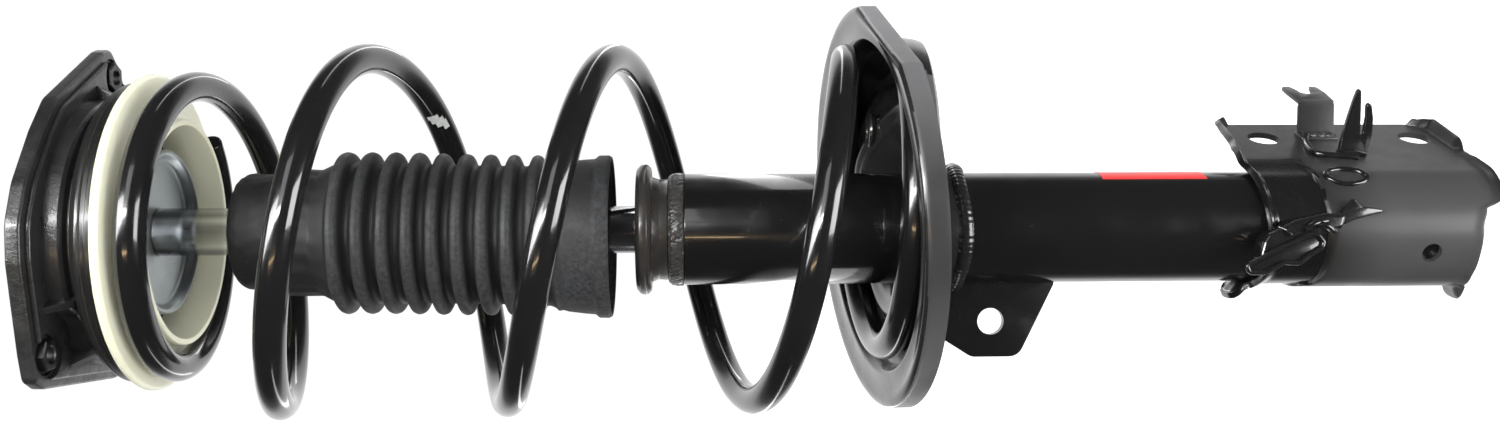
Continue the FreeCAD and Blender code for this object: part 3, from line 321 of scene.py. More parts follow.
# ---------------------------------------------------------------------------
# Materials
# ---------------------------------------------------------------------------
class Mat:
    def __init__(self, name, base, rough, metallic=0.0, coat=0.0, coat_rough=0.05, spec=0.5, ior=1.5):
        self.m = bpy.data.materials.new(name)
        self.m.use_nodes = True
        self.nt = self.m.node_tree
        self.b = self.nt.nodes["Principled BSDF"]
        self.b.inputs["Base Color"].default_value = (*base, 1)
        self.b.inputs["Roughness"].default_value = rough
        self.b.inputs["Metallic"].default_value = metallic
        self.b.inputs["Coat Weight"].default_value = coat
        self.b.inputs["Coat Roughness"].default_value = coat_rough
        self.b.inputs["Specular IOR Level"].default_value = spec
        self.b.inputs["IOR"].default_value = ior
        self.tc = self.nt.nodes.new("ShaderNodeTexCoord")
        self.normal = None
        self.base = base
        self.rough = rough

    def node(self, kind, **kw):
        n = self.nt.nodes.new(kind)
        for k, v in kw.items():
            if k in n.inputs:
                n.inputs[k].default_value = v
            else:
                setattr(n, k, v)
        return n

    def link(self, a, b):
        self.nt.links.new(a, b)

    def noise(self, scale, detail=3.0, rough=0.55, stretch=None):
        n = self.node("ShaderNodeTexNoise", Scale=scale, Detail=detail, Roughness=rough)
        if stretch:
            mp = self.node("ShaderNodeMapping")
            mp.inputs["Scale"].default_value = stretch
            self.link(self.tc.outputs["Object"], mp.inputs["Vector"])
            self.link(mp.outputs["Vector"], n.inputs["Vector"])
        else:
            self.link(self.tc.outputs["Object"], n.inputs["Vector"])
        return n.outputs["Fac"]

    def ramp(self, fac, stops, interp="LINEAR"):
        r = self.node("ShaderNodeValToRGB")
        r.color_ramp.interpolation = interp
        els = r.color_ramp.elements
        while len(els) > 1:
            els.remove(els[-1])
        els[0].position = stops[0][0]
        els[0].color = self.rgba(stops[0][1])
        for p, c in stops[1:]:
            e = els.new(p)
            e.color = self.rgba(c)
        self.link(fac, r.inputs["Fac"])
        return r.outputs["Color"]

    @staticmethod
    def rgba(c):
        return (c, c, c, 1) if isinstance(c, (int, float)) else (*c, 1)

    def mix(self, fac, a, b):
        n = self.node("ShaderNodeMix")
        n.data_type = "RGBA"
        ins = {"fac": n.inputs[0], "a": n.inputs[6], "b": n.inputs[7]}
        for key, v in (("fac", fac), ("a", a), ("b", b)):
            if hasattr(v, "is_output"):
                self.link(v, ins[key])
            elif key == "fac":
                ins[key].default_value = v
            else:
                ins[key].default_value = self.rgba(v)
        return n.outputs[2]

    def math(self, op, a, b=None):
        n = self.node("ShaderNodeMath")
        n.operation = op
        for i, v in enumerate((a, b)):
            if v is None:
                continue
            if hasattr(v, "is_output"):
                self.link(v, n.inputs[i])
            else:
                n.inputs[i].default_value = v
        return n.outputs[0]

    def bump(self, height, strength, distance):
        n = self.node("ShaderNodeBump", Strength=strength, Distance=distance)
        self.link(height, n.inputs["Height"])
        if self.normal is not None:
            self.link(self.normal, n.inputs["Normal"])
        self.normal = n.outputs["Normal"]
        self.link(self.normal, self.b.inputs["Normal"])
        return self

    def color(self, socket):
        self.link(socket, self.b.inputs["Base Color"])
        return self

    def roughness(self, socket):
        self.link(socket, self.b.inputs["Roughness"])
        return self

    def xyz(self):
        s = self.node("ShaderNodeSeparateXYZ")
        self.link(self.tc.outputs["Object"], s.inputs[0])
        return s.outputs

    def put(self, *obs):
        for o in obs:
            o.data.materials.clear()
            o.data.materials.append(self.m)
        return self


def gloss_black(name, base=(0.0062, 0.0062, 0.0066), peel=0.25, rough=0.16):
    """Powder coat: orange peel, faint dust and rub marks."""
    m = Mat(name, base, rough, coat=0.6, coat_rough=0.04)
    m.bump(m.noise(900, 2), peel, 0.00004)
    m.bump(m.noise(160, 3), peel * 0.8, 0.00010)
    r = m.ramp(m.noise(60, 4), [(0.35, rough * 0.8), (0.65, rough * 1.5), (0.8, rough * 2.4)])
    m.roughness(r)
    dust = m.ramp(m.noise(700, 2, 0.7), [(0.66, 0.0), (0.76, 1.0)])
    big = m.ramp(m.noise(25, 3), [(0.45, 0.0), (0.7, 1.0)])
    m.color(m.mix(m.math("MULTIPLY", m.math("MULTIPLY", dust, big), 0.35), base, (0.07, 0.07, 0.068)))
    return m


# --- black coats ------------------------------------------------------------
M_SPRING = gloss_black("spring_powder_coat", (0.006, 0.006, 0.0064), 0.30, 0.15)
M_TUBE = gloss_black("tube_paint", (0.0058, 0.0058, 0.006), 0.16, 0.17)
M_SEAT = gloss_black("seat_paint", (0.012, 0.012, 0.012), 0.16, 0.20)


def make_skirt():
    """Thin, satin paint on the seat's folded skirt, with a painted reflection: bands lighter and darker by height,
    greyer towards the sky.
    """
    m = Mat("skirt_paint_painted_reflection", (0.10, 0.10, 0.104), 0.34, coat=0.2, coat_rough=0.2)
    m.bump(m.noise(700, 2), 0.12, 0.00005)
    xyz = m.xyz()
    # painted reflection: the colour is set by height across the strut, lighter at top and bottom and darker in between
    up = m.math("ADD", m.math("MULTIPLY", xyz[0], 4.067), m.math("MULTIPLY", xyz[1], -9.135))
    painted_sheen_lane = m.math("ADD", m.math("MULTIPLY", up, 0.5), 0.5)
    c = m.mix(m.ramp(painted_sheen_lane, [(0.0, 0.70), (0.22, 0.40), (0.40, 0.10), (0.62, 0.12), (0.80, 0.55), (1.0, 1.0)]), (0.011, 0.011, 0.0115), (0.15, 0.15, 0.156))
    m.color(m.mix(m.noise(60, 4), m.mix(0.25, c, (0.02, 0.02, 0.02)), c))
    m.roughness(m.ramp(m.noise(90, 3), [(0.3, 0.28), (0.7, 0.42)]))
    return m


M_SKIRT = make_skirt()
M_CLIP = gloss_black("clip_paint", (0.0075, 0.0075, 0.0078), 0.35, 0.16)
M_TAB = gloss_black("tab_paint", (0.007, 0.007, 0.0072), 0.35, 0.20)


def make_bracket_paint():
    m = Mat("bracket_paint_painted_shade", (0.045, 0.045, 0.046), 0.36, coat=0.25, coat_rough=0.18)
    m.bump(m.noise(1100, 2), 0.30, 0.00005)
    m.bump(m.noise(90, 3), 0.10, 0.0002)
    dark = m.noise(36, 4)
    spots = m.ramp(m.noise(1500, 2), [(0.70, 0.0), (0.75, 1.0)])
    c = m.mix(dark, (0.034, 0.034, 0.035), (0.048, 0.048, 0.049))
    # painted shade: the stretch above the step, towards the spring, is coloured darker
    painted_shade_above_step = m.ramp(m.math("MULTIPLY", m.xyz()[2], -1.0), [(0.570, 0.0), (0.600, 1.0)])
    c = m.mix(painted_shade_above_step, (0.016, 0.0155, 0.015), c)
    # painted shade: a darker band along the lower edge and its lip
    edge = m.ramp(m.math("MULTIPLY", m.xyz()[2], -1.0), [(0.6475, 0.0), (0.6535, 1.0)])
    c = m.mix(edge, c, (0.010, 0.010, 0.010))
    m.color(m.mix(m.math("MULTIPLY", spots, 0.35), c, (0.012, 0.012, 0.012)))
    m.roughness(m.ramp(m.noise(70, 4), [(0.3, 0.28), (0.7, 0.42)]))
    return m


M_BRACKET = make_bracket_paint()


def make_cast():
    m = Mat("mount_cast_coat", (0.010, 0.010, 0.0105), 0.36, coat=0.35, coat_rough=0.16)
    m.bump(m.noise(420, 3, 0.6), 0.75, 0.00035)
    m.bump(m.noise(1400, 2), 0.35, 0.0001)
    m.roughness(m.ramp(m.noise(120, 4), [(0.3, 0.26), (0.7, 0.5)]))
    m.color(m.mix(m.noise(60, 4), (0.007, 0.007, 0.0075), (0.016, 0.016, 0.016)))
    return m


M_CAST = make_cast()


def make_cover():
    m = Mat("bearing_cover_moulded", (0.008, 0.008, 0.0085), 0.28, coat=0.2, coat_rough=0.1)
    m.bump(m.noise(80, 3, stretch=(1, 1, 14)), 0.12, 0.0002)
    m.bump(m.noise(900, 2), 0.10, 0.00005)
    m.roughness(m.ramp(m.noise(50, 4, stretch=(1, 1, 8)), [(0.3, 0.22), (0.7, 0.38)]))
    m.color(m.mix(m.noise(200, 3), (0.007, 0.007, 0.0075), (0.012, 0.0115, 0.011)))
    return m


M_COVER = make_cover()


def make_rubber():
    """Moulded rubber: mat skin, crests coloured paler as a painted highlight broken up by noise, dust specks."""
    m = Mat("boot_rubber", (0.022, 0.023, 0.025), 0.62, spec=0.4)
    m.bump(m.noise(1500, 3, 0.6), 0.35, 0.00008)
    m.bump(m.noise(220, 4, 0.6), 0.25, 0.0002)
    xyz = m.xyz()
    rad = m.math("SQRT", m.math("ADD", m.math("MULTIPLY", xyz[0], xyz[0]), m.math("MULTIPLY", xyz[1], xyz[1])))
    # painted highlight: the outer crests of the bellows are coloured paler, and the valleys keep the dark base
    crest = m.ramp(m.math("MULTIPLY", rad, 1000.0 / 40.0), [(0.86, 0.0), (0.925, 1.0), (0.94, 1.0)])
    painted_crest_highlight = m.math("MULTIPLY", crest, m.ramp(m.noise(500, 4, 0.7), [(0.35, 0.15), (0.65, 1.0)]))
    cloud = m.mix(m.noise(45, 5, 0.6), (0.0050, 0.0051, 0.0054), (0.0105, 0.0108, 0.0116))
    c = m.mix(m.math("MULTIPLY", painted_crest_highlight, 0.7), cloud, (0.050, 0.052, 0.055))
    speck = m.ramp(m.noise(2300, 2, 0.6), [(0.685, 0.0), (0.73, 1.0)])
    patch = m.ramp(m.noise(70, 3), [(0.42, 0.0), (0.62, 1.0)])
    c = m.mix(m.math("MULTIPLY", m.math("MULTIPLY", speck, patch), 0.8), c, (0.17, 0.17, 0.17))
    m.color(c)
    m.roughness(m.ramp(m.noise(90, 4), [(0.3, 0.5), (0.7, 0.72)]))
    return m


M_RUBBER = make_rubber()


def make_bump_rubber():
    m = Mat("bump_stop_foam", (0.025, 0.026, 0.028), 0.66, spec=0.35)
    m.bump(m.noise(700, 3, 0.6), 0.45, 0.0002)
    m.color(m.mix(m.noise(120, 4), (0.018, 0.019, 0.02), (0.034, 0.035, 0.037)))
    return m


M_BUMP = make_bump_rubber()


def make_nylon():
    m = Mat("nylon_cream", (0.80, 0.79, 0.63), 0.32, coat=0.15, coat_rough=0.2)
    m.b.inputs["Subsurface Weight"].default_value = 0.25
    m.b.inputs["Subsurface Radius"].default_value = (0.9, 0.8, 0.5)
    m.b.inputs["Subsurface Scale"].default_value = 0.003
    m.bump(m.noise(130, 3), 0.10, 0.0003)
    m.bump(m.noise(900, 2), 0.08, 0.00005)
    c = m.mix(m.noise(28, 4), (0.58, 0.58, 0.46), (0.52, 0.515, 0.39))
    speck = m.ramp(m.noise(600, 2), [(0.74, 0.0), (0.80, 1.0)])
    m.color(m.mix(m.math("MULTIPLY", speck, 0.4), c, (0.30, 0.27, 0.19)))
    m.roughness(m.ramp(m.noise(60, 3), [(0.3, 0.27), (0.7, 0.42)]))
    return m


M_NYLON = make_nylon()


def make_chrome():
    m = Mat("rod_chrome_painted_reflection", (0.80, 0.79, 0.775), 0.07, metallic=1.0)
    m.bump(m.noise(60, 3, stretch=(1, 1, 60)), 0.06, 0.00005)
    m.roughness(m.ramp(m.noise(300, 3, stretch=(1, 1, 12)), [(0.3, 0.09), (0.7, 0.16)]))
    # painted reflection: darker and brighter lanes along the rod, set by the direction across it
    xyz = m.xyz()
    x, y = xyz[0], xyz[1]
    across = m.math("ADD", m.math("MULTIPLY", x, 40.67 * 0.909), m.math("MULTIPLY", y, -91.35 * 0.909))
    painted_sheen_lane = m.math("ADD", m.math("MULTIPLY", across, 0.5), 0.5)
    m.color(m.mix(m.ramp(painted_sheen_lane, [(0.0, 0.0), (0.10, 0.15), (0.20, 0.9), (0.34, 0.55), (0.50, 0.25), (0.62, 0.35), (0.74, 1.0), (0.84, 0.3), (0.93, 0.5), (1.0, 0.1)]),
                  (0.24, 0.24, 0.27), (1.0, 1.0, 1.0)))
    return m


M_CHROME = make_chrome()


def make_zinc():
    m = Mat("zinc_plate", (0.56, 0.62, 0.65), 0.34, metallic=1.0)
    m.bump(m.noise(300, 3), 0.15, 0.00008)
    m.color(m.mix(m.noise(40, 4), (0.47, 0.54, 0.57), (0.66, 0.69, 0.70)))
    m.roughness(m.ramp(m.noise(90, 4), [(0.3, 0.26), (0.7, 0.44)]))
    return m


M_ZINC = make_zinc()


def make_steel(name, base=(0.5, 0.5, 0.5), rough=0.3):
    m = Mat(name, base, rough, metallic=1.0)
    m.bump(m.noise(200, 3, stretch=(1, 1, 10)), 0.12, 0.00008)
    m.color(m.mix(m.noise(80, 4), tuple(0.8 * c for c in base), tuple(min(1, 1.15 * c) for c in base)))
    m.roughness(m.ramp(m.noise(150, 4), [(0.3, rough * 0.75), (0.7, rough * 1.35)]))
    return m


M_STEEL = make_steel("steel_machined")
M_ALU = make_steel("aluminium_sintered", (0.66, 0.66, 0.66), 0.42)
M_PHOS = make_steel("phosphate_steel", (0.10, 0.10, 0.10), 0.45)


def make_cap():
    m = Mat("cap_dark_bronze", (0.030, 0.027, 0.025), 0.30, metallic=0.35, coat=0.3, coat_rough=0.12)
    m.bump(m.noise(500, 3), 0.18, 0.00008)
    m.bump(m.noise(50, 3, stretch=(1, 1, 9)), 0.08, 0.0002)
    m.color(m.mix(m.noise(70, 4), (0.020, 0.018, 0.017), (0.052, 0.047, 0.043)))
    m.roughness(m.ramp(m.noise(120, 4), [(0.3, 0.24), (0.7, 0.42)]))
    return m


M_CAP = make_cap()


def make_band():
    """Rolled and painted crimp: a rough crackled skin."""
    m = Mat("band_rough_paint", (0.014, 0.0138, 0.0135), 0.36, coat=0.3, coat_rough=0.14)
    v = m.node("ShaderNodeTexVoronoi", Scale=620.0)
    m.link(m.tc.outputs["Object"], v.inputs["Vector"])
    m.bump(v.outputs["Distance"], 0.9, 0.0004)
    m.bump(m.noise(900, 3), 0.6, 0.0002)
    m.color(m.mix(m.noise(500, 3), (0.008, 0.008, 0.008), (0.05, 0.048, 0.046)))
    return m


M_BAND = make_band()


def make_weld():
    m = gloss_black("weld_paint", (0.010, 0.010, 0.010), 0.5, 0.2)
    m.bump(m.noise(260, 3), 0.6, 0.0006)
    return m


M_WELD = make_weld()


def make_label():
    m = Mat("label_red", (0.62, 0.018, 0.016), 0.34, coat=0.2, coat_rough=0.1)
    m.color(m.mix(m.noise(120, 4), (0.66, 0.020, 0.018), (0.52, 0.014, 0.013)))
    m.bump(m.noise(400, 2), 0.1, 0.00005)
    return m


M_LABEL = make_label()


def make_scuff():
    m = Mat("pale_paint_mark", (0.42, 0.44, 0.43), 0.5)
    m.color(m.mix(m.noise(500, 4, 0.7), (0.22, 0.23, 0.23), (0.62, 0.63, 0.61)))
    m.bump(m.noise(900, 3), 0.3, 0.0001)
    return m


M_SCUFF = make_scuff()

# ---------------------------------------------------------------------------
# Coil spring, left-hand wound: turn angle, depth, mean radius, centre offset
# ---------------------------------------------------------------------------
CR, CT, CL, OFF = 79.5, 63.5, 66.0, 11.0
STATIONS = [
    (44, 43.0, 59.0, 0), (90, 43.0, 59.0, 0), (180, 44.4, 61.8, 0), (270, 45.8, CT, 0), (360, 53.0, CT + 3.5, 0),
    (450, 69.0, CT + 11, 0), (540, 90.0, CR, 0), (630, 112.0, CR, 0), (720, 134.0, CR, 0), (765, 150.5, CR, 0), (810, 165.0, CR, 0), (900, 192.0, CR, 0),
    (1080, 246.0, CR, 0), (1260, 305.0, CR, 0), (1350, 333.0, CR, 1), (1440, 352.0, CR - 3, 3),
    (1530, 361.0, CL + 3, 7), (1620, 368.5, CL, OFF), (1710, 374.5, CL, OFF), (1790, 377.6, CL, OFF)]
WIRE = 6.75


def smoothstep(a, b, x):
    t = min(1.0, max(0.0, (x - a) / (b - a)))
    return t * t * (3 - 2 * t)


def hermite(xs, ys, x):
    n = len(xs)
    i = 0
    while i < n - 2 and x > xs[i + 1]:
        i += 1

    def slope(j):
        if j == 0:
            return (ys[1] - ys[0]) / (xs[1] - xs[0])
        if j == n - 1:
            return (ys[-1] - ys[-2]) / (xs[-1] - xs[-2])
        ha, hb = xs[j] - xs[j - 1], xs[j + 1] - xs[j]
        da, db = (ys[j] - ys[j - 1]) / ha, (ys[j + 1] - ys[j]) / hb
        return (da * hb + db * ha) / (ha + hb)
    hh = xs[i + 1] - xs[i]
    u = (x - xs[i]) / hh
    return ((2 * u ** 3 - 3 * u ** 2 + 1) * ys[i] + (u ** 3 - 2 * u ** 2 + u) * hh * slope(i)
            + (-2 * u ** 3 + 3 * u ** 2) * ys[i + 1] + (u ** 3 - u ** 2) * hh * slope(i + 1))


def coil_point(turn):
    xs = [s[0] for s in STATIONS]
    z = -hermite(xs, [s[1] for s in STATIONS], turn)
    r = hermite(xs, [s[2] for s in STATIONS], turn)
    o = hermite(xs, [s[3] for s in STATIONS], turn)
    a = math.radians(-turn)
    return UP * (r * math.cos(a) + o) + FRONT * (r * math.sin(a)) + np.array([0, 0, z])


def build_spring():
    t0, t1 = STATIONS[0][0], STATIONS[-1][0]
    n = int((t1 - t0) / 2.0)
    pts = [coil_point(t0 + (t1 - t0) * k / n) for k in range(n + 1)]
    # the wire is drawn thinner over its first half turn
    rad = [5.2 + (WIRE - 5.2) * smoothstep(70.0, 215.0, t0 + (t1 - t0) * k / n) for k in range(n + 1)]
    # sheared ends with a small rounded edge
    head, tail = [], []
    d0 = (pts[0] - pts[1]) / np.linalg.norm(pts[0] - pts[1])
    d1 = (pts[-1] - pts[-2]) / np.linalg.norm(pts[-1] - pts[-2])
    for s, rr in ((0.35, WIRE - 0.12), (0.7, WIRE - 0.4), (0.95, WIRE - 0.9)):
        head.append((pts[0] + d0 * s, rr - 1.55))
        tail.append((pts[-1] + d1 * s, rr))
    allp = [p for p, _ in head[::-1]] + pts + [p for p, _ in tail]
    allr = [r for _, r in head[::-1]] + rad + [r for _, r in tail]
    ob = sweep("coil_spring_visual", allp, allr, seg=44)
    smooth(ob, 50)
    M_SPRING.put(ob)
    # a pale rub on the second coil's far strand
    ob.data.materials.append(M_SCUFF.m)
    for poly in ob.data.polygons:
        p = np.array(poly.center) / MM
        u, f = float(p @ UP), float(p @ FRONT)
        if f < -40 and -157 < p[2] < -141 and 52 + 1.2 * math.sin(0.5 * p[2]) < u < 63 + 1.0 * math.sin(0.7 * p[2]):
            if float(np.array(poly.normal) @ FRONT) > 0.62 + 0.10 * math.sin(0.45 * u):
                poly.material_index = 1
    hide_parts("coil_spring")
    return ob, t0, t1


SPRING, T0, T1 = build_spring()

# ---------------------------------------------------------------------------
# Turned pieces
# ---------------------------------------------------------------------------


def turned(name, node, body, profile, mat, r=0.6, seg=160, steps=4, angle=38, wobble=None):
    prof = soften(profile, r, steps)
    ob = lathe(name, prof, seg, wobble)
    smooth(ob, angle)
    mat.put(ob)
    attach(ob, body)
    if node:
        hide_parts(*([node] if isinstance(node, str) else node))
    return ob


turned("rod_visual", "piston_rod", "top_mount", [
    (0.01, -352, 0), (6, -352), (6, -330, 0.2), (11, -330), (11, -34.2, 0.3), (7, -34.2, 0.3), (7, -1.6), (6, -0.6), (0.01, -0.6, 0)],
    M_CHROME, seg=128)
turned("bearing_cover_visual", "bearing_cover", "top_mount", [
    (46.5, -24.5), (65.5, -24.5), (65.5, -32.1), (68.3, -32.1, 0.9), (68.5, -29.6, 0.4), (67.9, -29.1, 0.4), (67.9, -27.2, 0.4), (68.5, -26.7, 0.4),
    (68.5, -25.4, 1.5), (65.6, -22, 1.0), (46.5, -22)], M_COVER, seg=200)
turned("lower_plate_visual", "lower_plate", "top_mount", [
    (7.05, -34, 0.2), (33.2, -34, 2.5), (35.4, -37.8, 1.0), (36.8, -39, 0.8), (38, -37.8, 0.8), (38, -33.8, 1.4), (35.5, -32, 1.0),
    (7.05, -32, 0.2)], M_ZINC, seg=160)
turned("strut_tube_visual", "strut_tube", "strut_body", [
    (23.2, -632), (26, -632, 0.8), (26, -275.6, 0.5), (23.2, -275.4)], M_TUBE, r=0.3, seg=200)
turned("tube_cap_visual", "tube_cap", "strut_body", [
    (11.6, -268, 0.1), (23.7, -268, 0.1), (23.4, -264, 0.8), (24.6, -260.4, 1.4), (28.6, -260.3, 1.6), (30.4, -258.6, 2.0), (30.4, -255.6, 2.4),
    (27.8, -253.4, 1.8), (14.5, -253.6, 1.0), (11.6, -255.4, 0.8)], M_CAP, seg=180)


def band_wobble(r, z, th):
    if r > 24.5:
        r += 0.22 * math.sin(37 * th + 2.3 * z) * math.sin(17 * th - 1.1 * z) + 0.12 * math.sin(61 * th + 4 * z)
    return r, z


prof_band = soften([(19, -275.4, 0.1), (26.15, -275.4, 0.8), (26.3, -272.5, 0.8), (25.9, -269.8, 1.2), (24.4, -268.2, 1.2), (19, -268, 0.1)], 0.6, 6)
band = lathe("rolled_band_visual", prof_band, 480, band_wobble)
smooth(band, 60)
M_BAND.put(band)
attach(band, "strut_body")
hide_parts("rolled_band")


def build_nylon():
    # collar, sloped outer flange, and the guard that hides the balls
    prof = [(49.2, -47, 0.5), (51.8, -47, 0.9), (52.5, -44.5, 0.8), (52.9, -39.0, 1.8), (60, -36.6, 1.0), (71.0, -36.2, 1.2),
            (72.4, -35.0, 1.2), (72.4, -33.6, 1.0), (71.4, -32.4, 0.6), (60.2, -32.4, 0.2), (60.2, -33.6, 0.1), (49.8, -33.6, 0.1),
            (49.7, -24.9, 0.2), (48.3, -24.9, 0.2), (48.1, -36.0, 0.6)]
    return turned("upper_spring_seat_visual", "upper_spring_seat", "upper_seat", prof, M_NYLON, seg=220)


build_nylon()


# --- dust boot --------------------------------------------------------------
def build_boot():
    outer = [(14.0, -71.2, 1.0), (20.5, -71.0, 5.0), (25.4, -72.6, 5.0), (27.0, -77, 4.0), (26.4, -82, 4), (26.7, -87, 3), (27.6, -90.5, 2.5),
             (29.2, -93.5, 2.5), (29.2, -101, 3), (28.9, -109, 3.0), (31.2, -113.5, 1.6), (32.0, -115.2, 1.2)]
    for k in range(9):
        z = -120.5 - 10.9 * k
        outer += [(32.6, z + 3.9, 1.4), (37.0, z + 1.9, 1.6), (37.6, z, 1.4), (37.0, z - 1.9, 1.6), (32.6, z - 3.9, 1.4)]
        if k < 8:
            outer += [(32.2, z - 5.45, 1.6)]
    outer += [(32.6, -213.8, 1.4), (33.6, -216.2, 1.0), (34.9, -217.4, 1.0), (34.4, -219.4, 1.0), (35.1, -222, 2), (36.0, -230, 3), (36.3, -234.2, 1.5),
              (37.9, -236.2, 1.0), (38.0, -240.6, 1.0), (37.2, -242, 0.6)]
    inner = []
    for p in outer:
        inner.append((p[0] - 1.5, p[1] - (1.3 if p[1] > -74 else 0.0), p[2] if len(p) > 2 else 0.8))
    inner[0] = (14.0, -72.6, 0.4)
    inner[-1] = (35.9, -242, 0.6)
    prof = soften(outer + inner[::-1], 0.8, 3)

    def wob(r, z, th):
        # hand-moulded rubber: long shallow waves, fine lumps on the head
        if r > 20:
            r += 0.16 * math.sin(3 * th + z * 0.05) + 0.10 * math.sin(7 * th - z * 0.11)
            if z > -112:
                r += 0.22 * math.sin(11 * th + 0.35 * z) * math.sin(0.42 * z + 1.3 * math.sin(2 * th)) + 0.14 * math.sin(23 * th - 0.9 * z)
        return r, z
    ob = lathe("dust_boot_visual", prof, 220, wob)
    # the soft bellows hangs a little to one side towards its open end
    for v in ob.data.vertices:
        d = max(0.0, -75.0 - v.co.z / MM)
        v.co += Vector(UP * (-0.019 * d + 0.0) * MM)
    smooth(ob, 60)
    M_RUBBER.put(ob)
    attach(ob, "boot")
    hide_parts("dust_boot")
    return ob


build_boot()
turned("bump_stop_visual", "bump_stop", "boot", [
    (11.2, -139, 1.0), (14.5, -139, 1.5), (16.5, -136, 2), (17.5, -129, 2), (15.0, -123, 2.5), (21.3, -115, 3), (17.0, -105, 3), (21.3, -97, 3),
    (21.3, -77.5, 2), (18.5, -73.2, 1.5), (11.2, -73.2, 0.8)], M_BUMP, seg=120, angle=60)

# ---------------------------------------------------------------------------
# Mount housing: lobed plate and drum
# ---------------------------------------------------------------------------
RIM = [(69.0, -30.0, 12), (79.5, -21.5, 7), (86.0, -14.0, 6), (83.5, -6.0, 8), (58.8, 41.0, 12), (44.5, 53.5, 14), (22.5, 68.5, 20), (5.5, 74.6, 20),
       (-11.0, 74.0, 12), (-26.0, 70.5, 12), (-49.5, 64.8, 16), (-61.0, 61.0, 5), (-65.0, 53.0, 7), (-69.5, -17.0, 30), (-60.0, -92.0, 8),
       (-50.0, -98.0, 8), (-34.0, -96.0, 8), (0.0, -80.0, 30)]
RING = (-8.4, -15.9)
NUTS = [(RING[0] + 80.7 * math.cos(math.radians(1.35 + 120 * k)), RING[1] + 80.7 * math.sin(math.radians(1.35 + 120 * k))) for k in range(3)]
NUT_TH = [math.atan2(-math.cos(SIDE) * u - math.sin(SIDE) * f, math.sin(SIDE) * u - math.cos(SIDE) * f) for u, f in NUTS]


def ring_block(name, centre, loop, bore, z0, z1, edge=0.5):
    """A nut-like piece: an outer loop given as radius by angle, a round bore, both ends chamfered."""
    n = 72
    verts, faces = [], []
    rows = [(z0, -edge, bore + edge), (z0 + edge, 0.0, bore), (z1 - edge, 0.0, bore), (z1, -edge, bore + edge)]
    for z, off, b in rows:
        for k in range(n):
            a = 2 * math.pi * k / n
            r = loop(a) + off
            verts.append((centre[0] + r * math.cos(a), centre[1] + r * math.sin(a), z))
    for z, off, b in rows:
        for k in range(n):
            a = 2 * math.pi * k / n
            verts.append((centre[0] + b * math.cos(a), centre[1] + b * math.sin(a), z))
    m = 4 * n
    for k in range(n):
        j = (k + 1) % n
        for i in range(3):
            faces.append((i * n + k, i * n + j, (i + 1) * n + j, (i + 1) * n + k))
            faces.append((m + i * n + k, m + (i + 1) * n + k, m + (i + 1) * n + j, m + i * n + j))
        faces.append((k, m + k, m + j, j))
        faces.append((3 * n + k, 3 * n + j, m + 3 * n + j, m + 3 * n + k))
    ob = new_object(name, verts, faces)
    recalc(ob)
    return ob


def flat(u, f, z=0.0):
    return UP * u + FRONT * f + np.array([0, 0, z])


def build_housing():
    top = plate("housing_plate", RIM, 6.5, (0, 0, -3.25), UP, FRONT, corner=6, edge=1.3, segs=4)
    tools = [rod_between("t0", (0, 0, -20), (0, 0, 5), 34.0, 120)]
    for u, f in NUTS:
        tools.append(rod_between("t1", flat(u, f, -20), flat(u, f, 5), 6.55, 48))
        # round pocket in the underside, the nut sits inside it
        tools.append(rod_between("t2", flat(u, f, -20), flat(u, f, -4.4), 9.6, 64, r2=8.8))
    cut(top, *tools)
    # the underside's raised field follows the outline
    inner = [(p[0] * 0.945, p[1] * 0.945, p[2]) for p in RIM]
    step = plate("housing_step", inner, 2.6, (0, 0, -7.4), UP, FRONT, corner=6, edge=1.1, segs=4)
    tools = [rod_between("t0", (0, 0, -20), (0, 0, 5), 50.0, 120)]
    for u, f in NUTS:
        tools.append(rod_between("t2", flat(u, f, -20), flat(u, f, 5), 10.4, 64))
    cut(step, *tools)

    def wob(r, z, th):
        if r > 50 and z < -6:
            # pockets beside each captive nut
            for k, L in enumerate(NUT_TH):
                d = abs((th - L + math.pi) % (2 * math.pi) - math.pi)
                if d < 0.30:
                    r -= (1.5, 6.5, 2.0)[k] * (0.5 + 0.5 * math.cos(math.pi * d / 0.30)) * (1.0 if z > -21 else 0.25)
        return r, z
    prof = soften([(34, 0, 0.8), (60, 0, 0.1), (61.6, -6.6, 1.5), (61, -8.5, 1.5), (61, -15.2, 1.0), (59.8, -16.7, 0.8), (57.0, -17.3, 0.8), (57.0, -20.6, 0.6),
                   (58.2, -22, 0.6), (42, -22, 0.6), (42, -4, 0.6), (34, -4, 0.6)], 0.8, 4)
    drum = lathe("housing_drum", prof, 360, wob)
    ribs = []
    for k, L in enumerate(NUT_TH):
        for off in (-15.5, 15.5):
            a = L + math.radians(off)
            u = np.array([math.cos(a), math.sin(a), 0])
            ribs.append(plate("housing_rib", [(57.0, -6.0), (68.0, -6.0), (67.2, -9.0, 2), (61.2, -19.4, 2), (57.0, -20.0)], 3.0, (0, 0, 0), u, (0, 0, 1), corner=0.3, edge=0.8))
    ob = join("mount_housing_visual", top, step, drum, *ribs)
    smooth(ob, 32)
    M_CAST.put(ob)
    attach(ob, "top_mount")
    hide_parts("mount_housing")
    return ob


build_housing()


def build_captive_nuts():
    obs = []
    for k, (u, f) in enumerate(NUTS):
        c = flat(u, f)

        def hexa(a, turn=0.2 + 0.5 * k):
            t = (a + turn) % (math.pi / 3) - math.pi / 6
            return min(7.4, 6.45 / math.cos(t))
        obs.append(ring_block("nut", c, hexa, 3.45, -9.0, -4.6, 0.6))
        obs.append(ring_block("flange", c, lambda a: 8.4, 3.5, -5.4, -4.5, 0.3))
        obs.append(ring_block("collar", c, lambda a: 6.45, 3.45, -4.6, -0.6, 0.3))
    ob = join("captive_nuts_visual", *obs)
    smooth(ob, 30)
    M_PHOS.put(ob)
    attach(ob, "top_mount")
    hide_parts("captive_nuts")


build_captive_nuts()


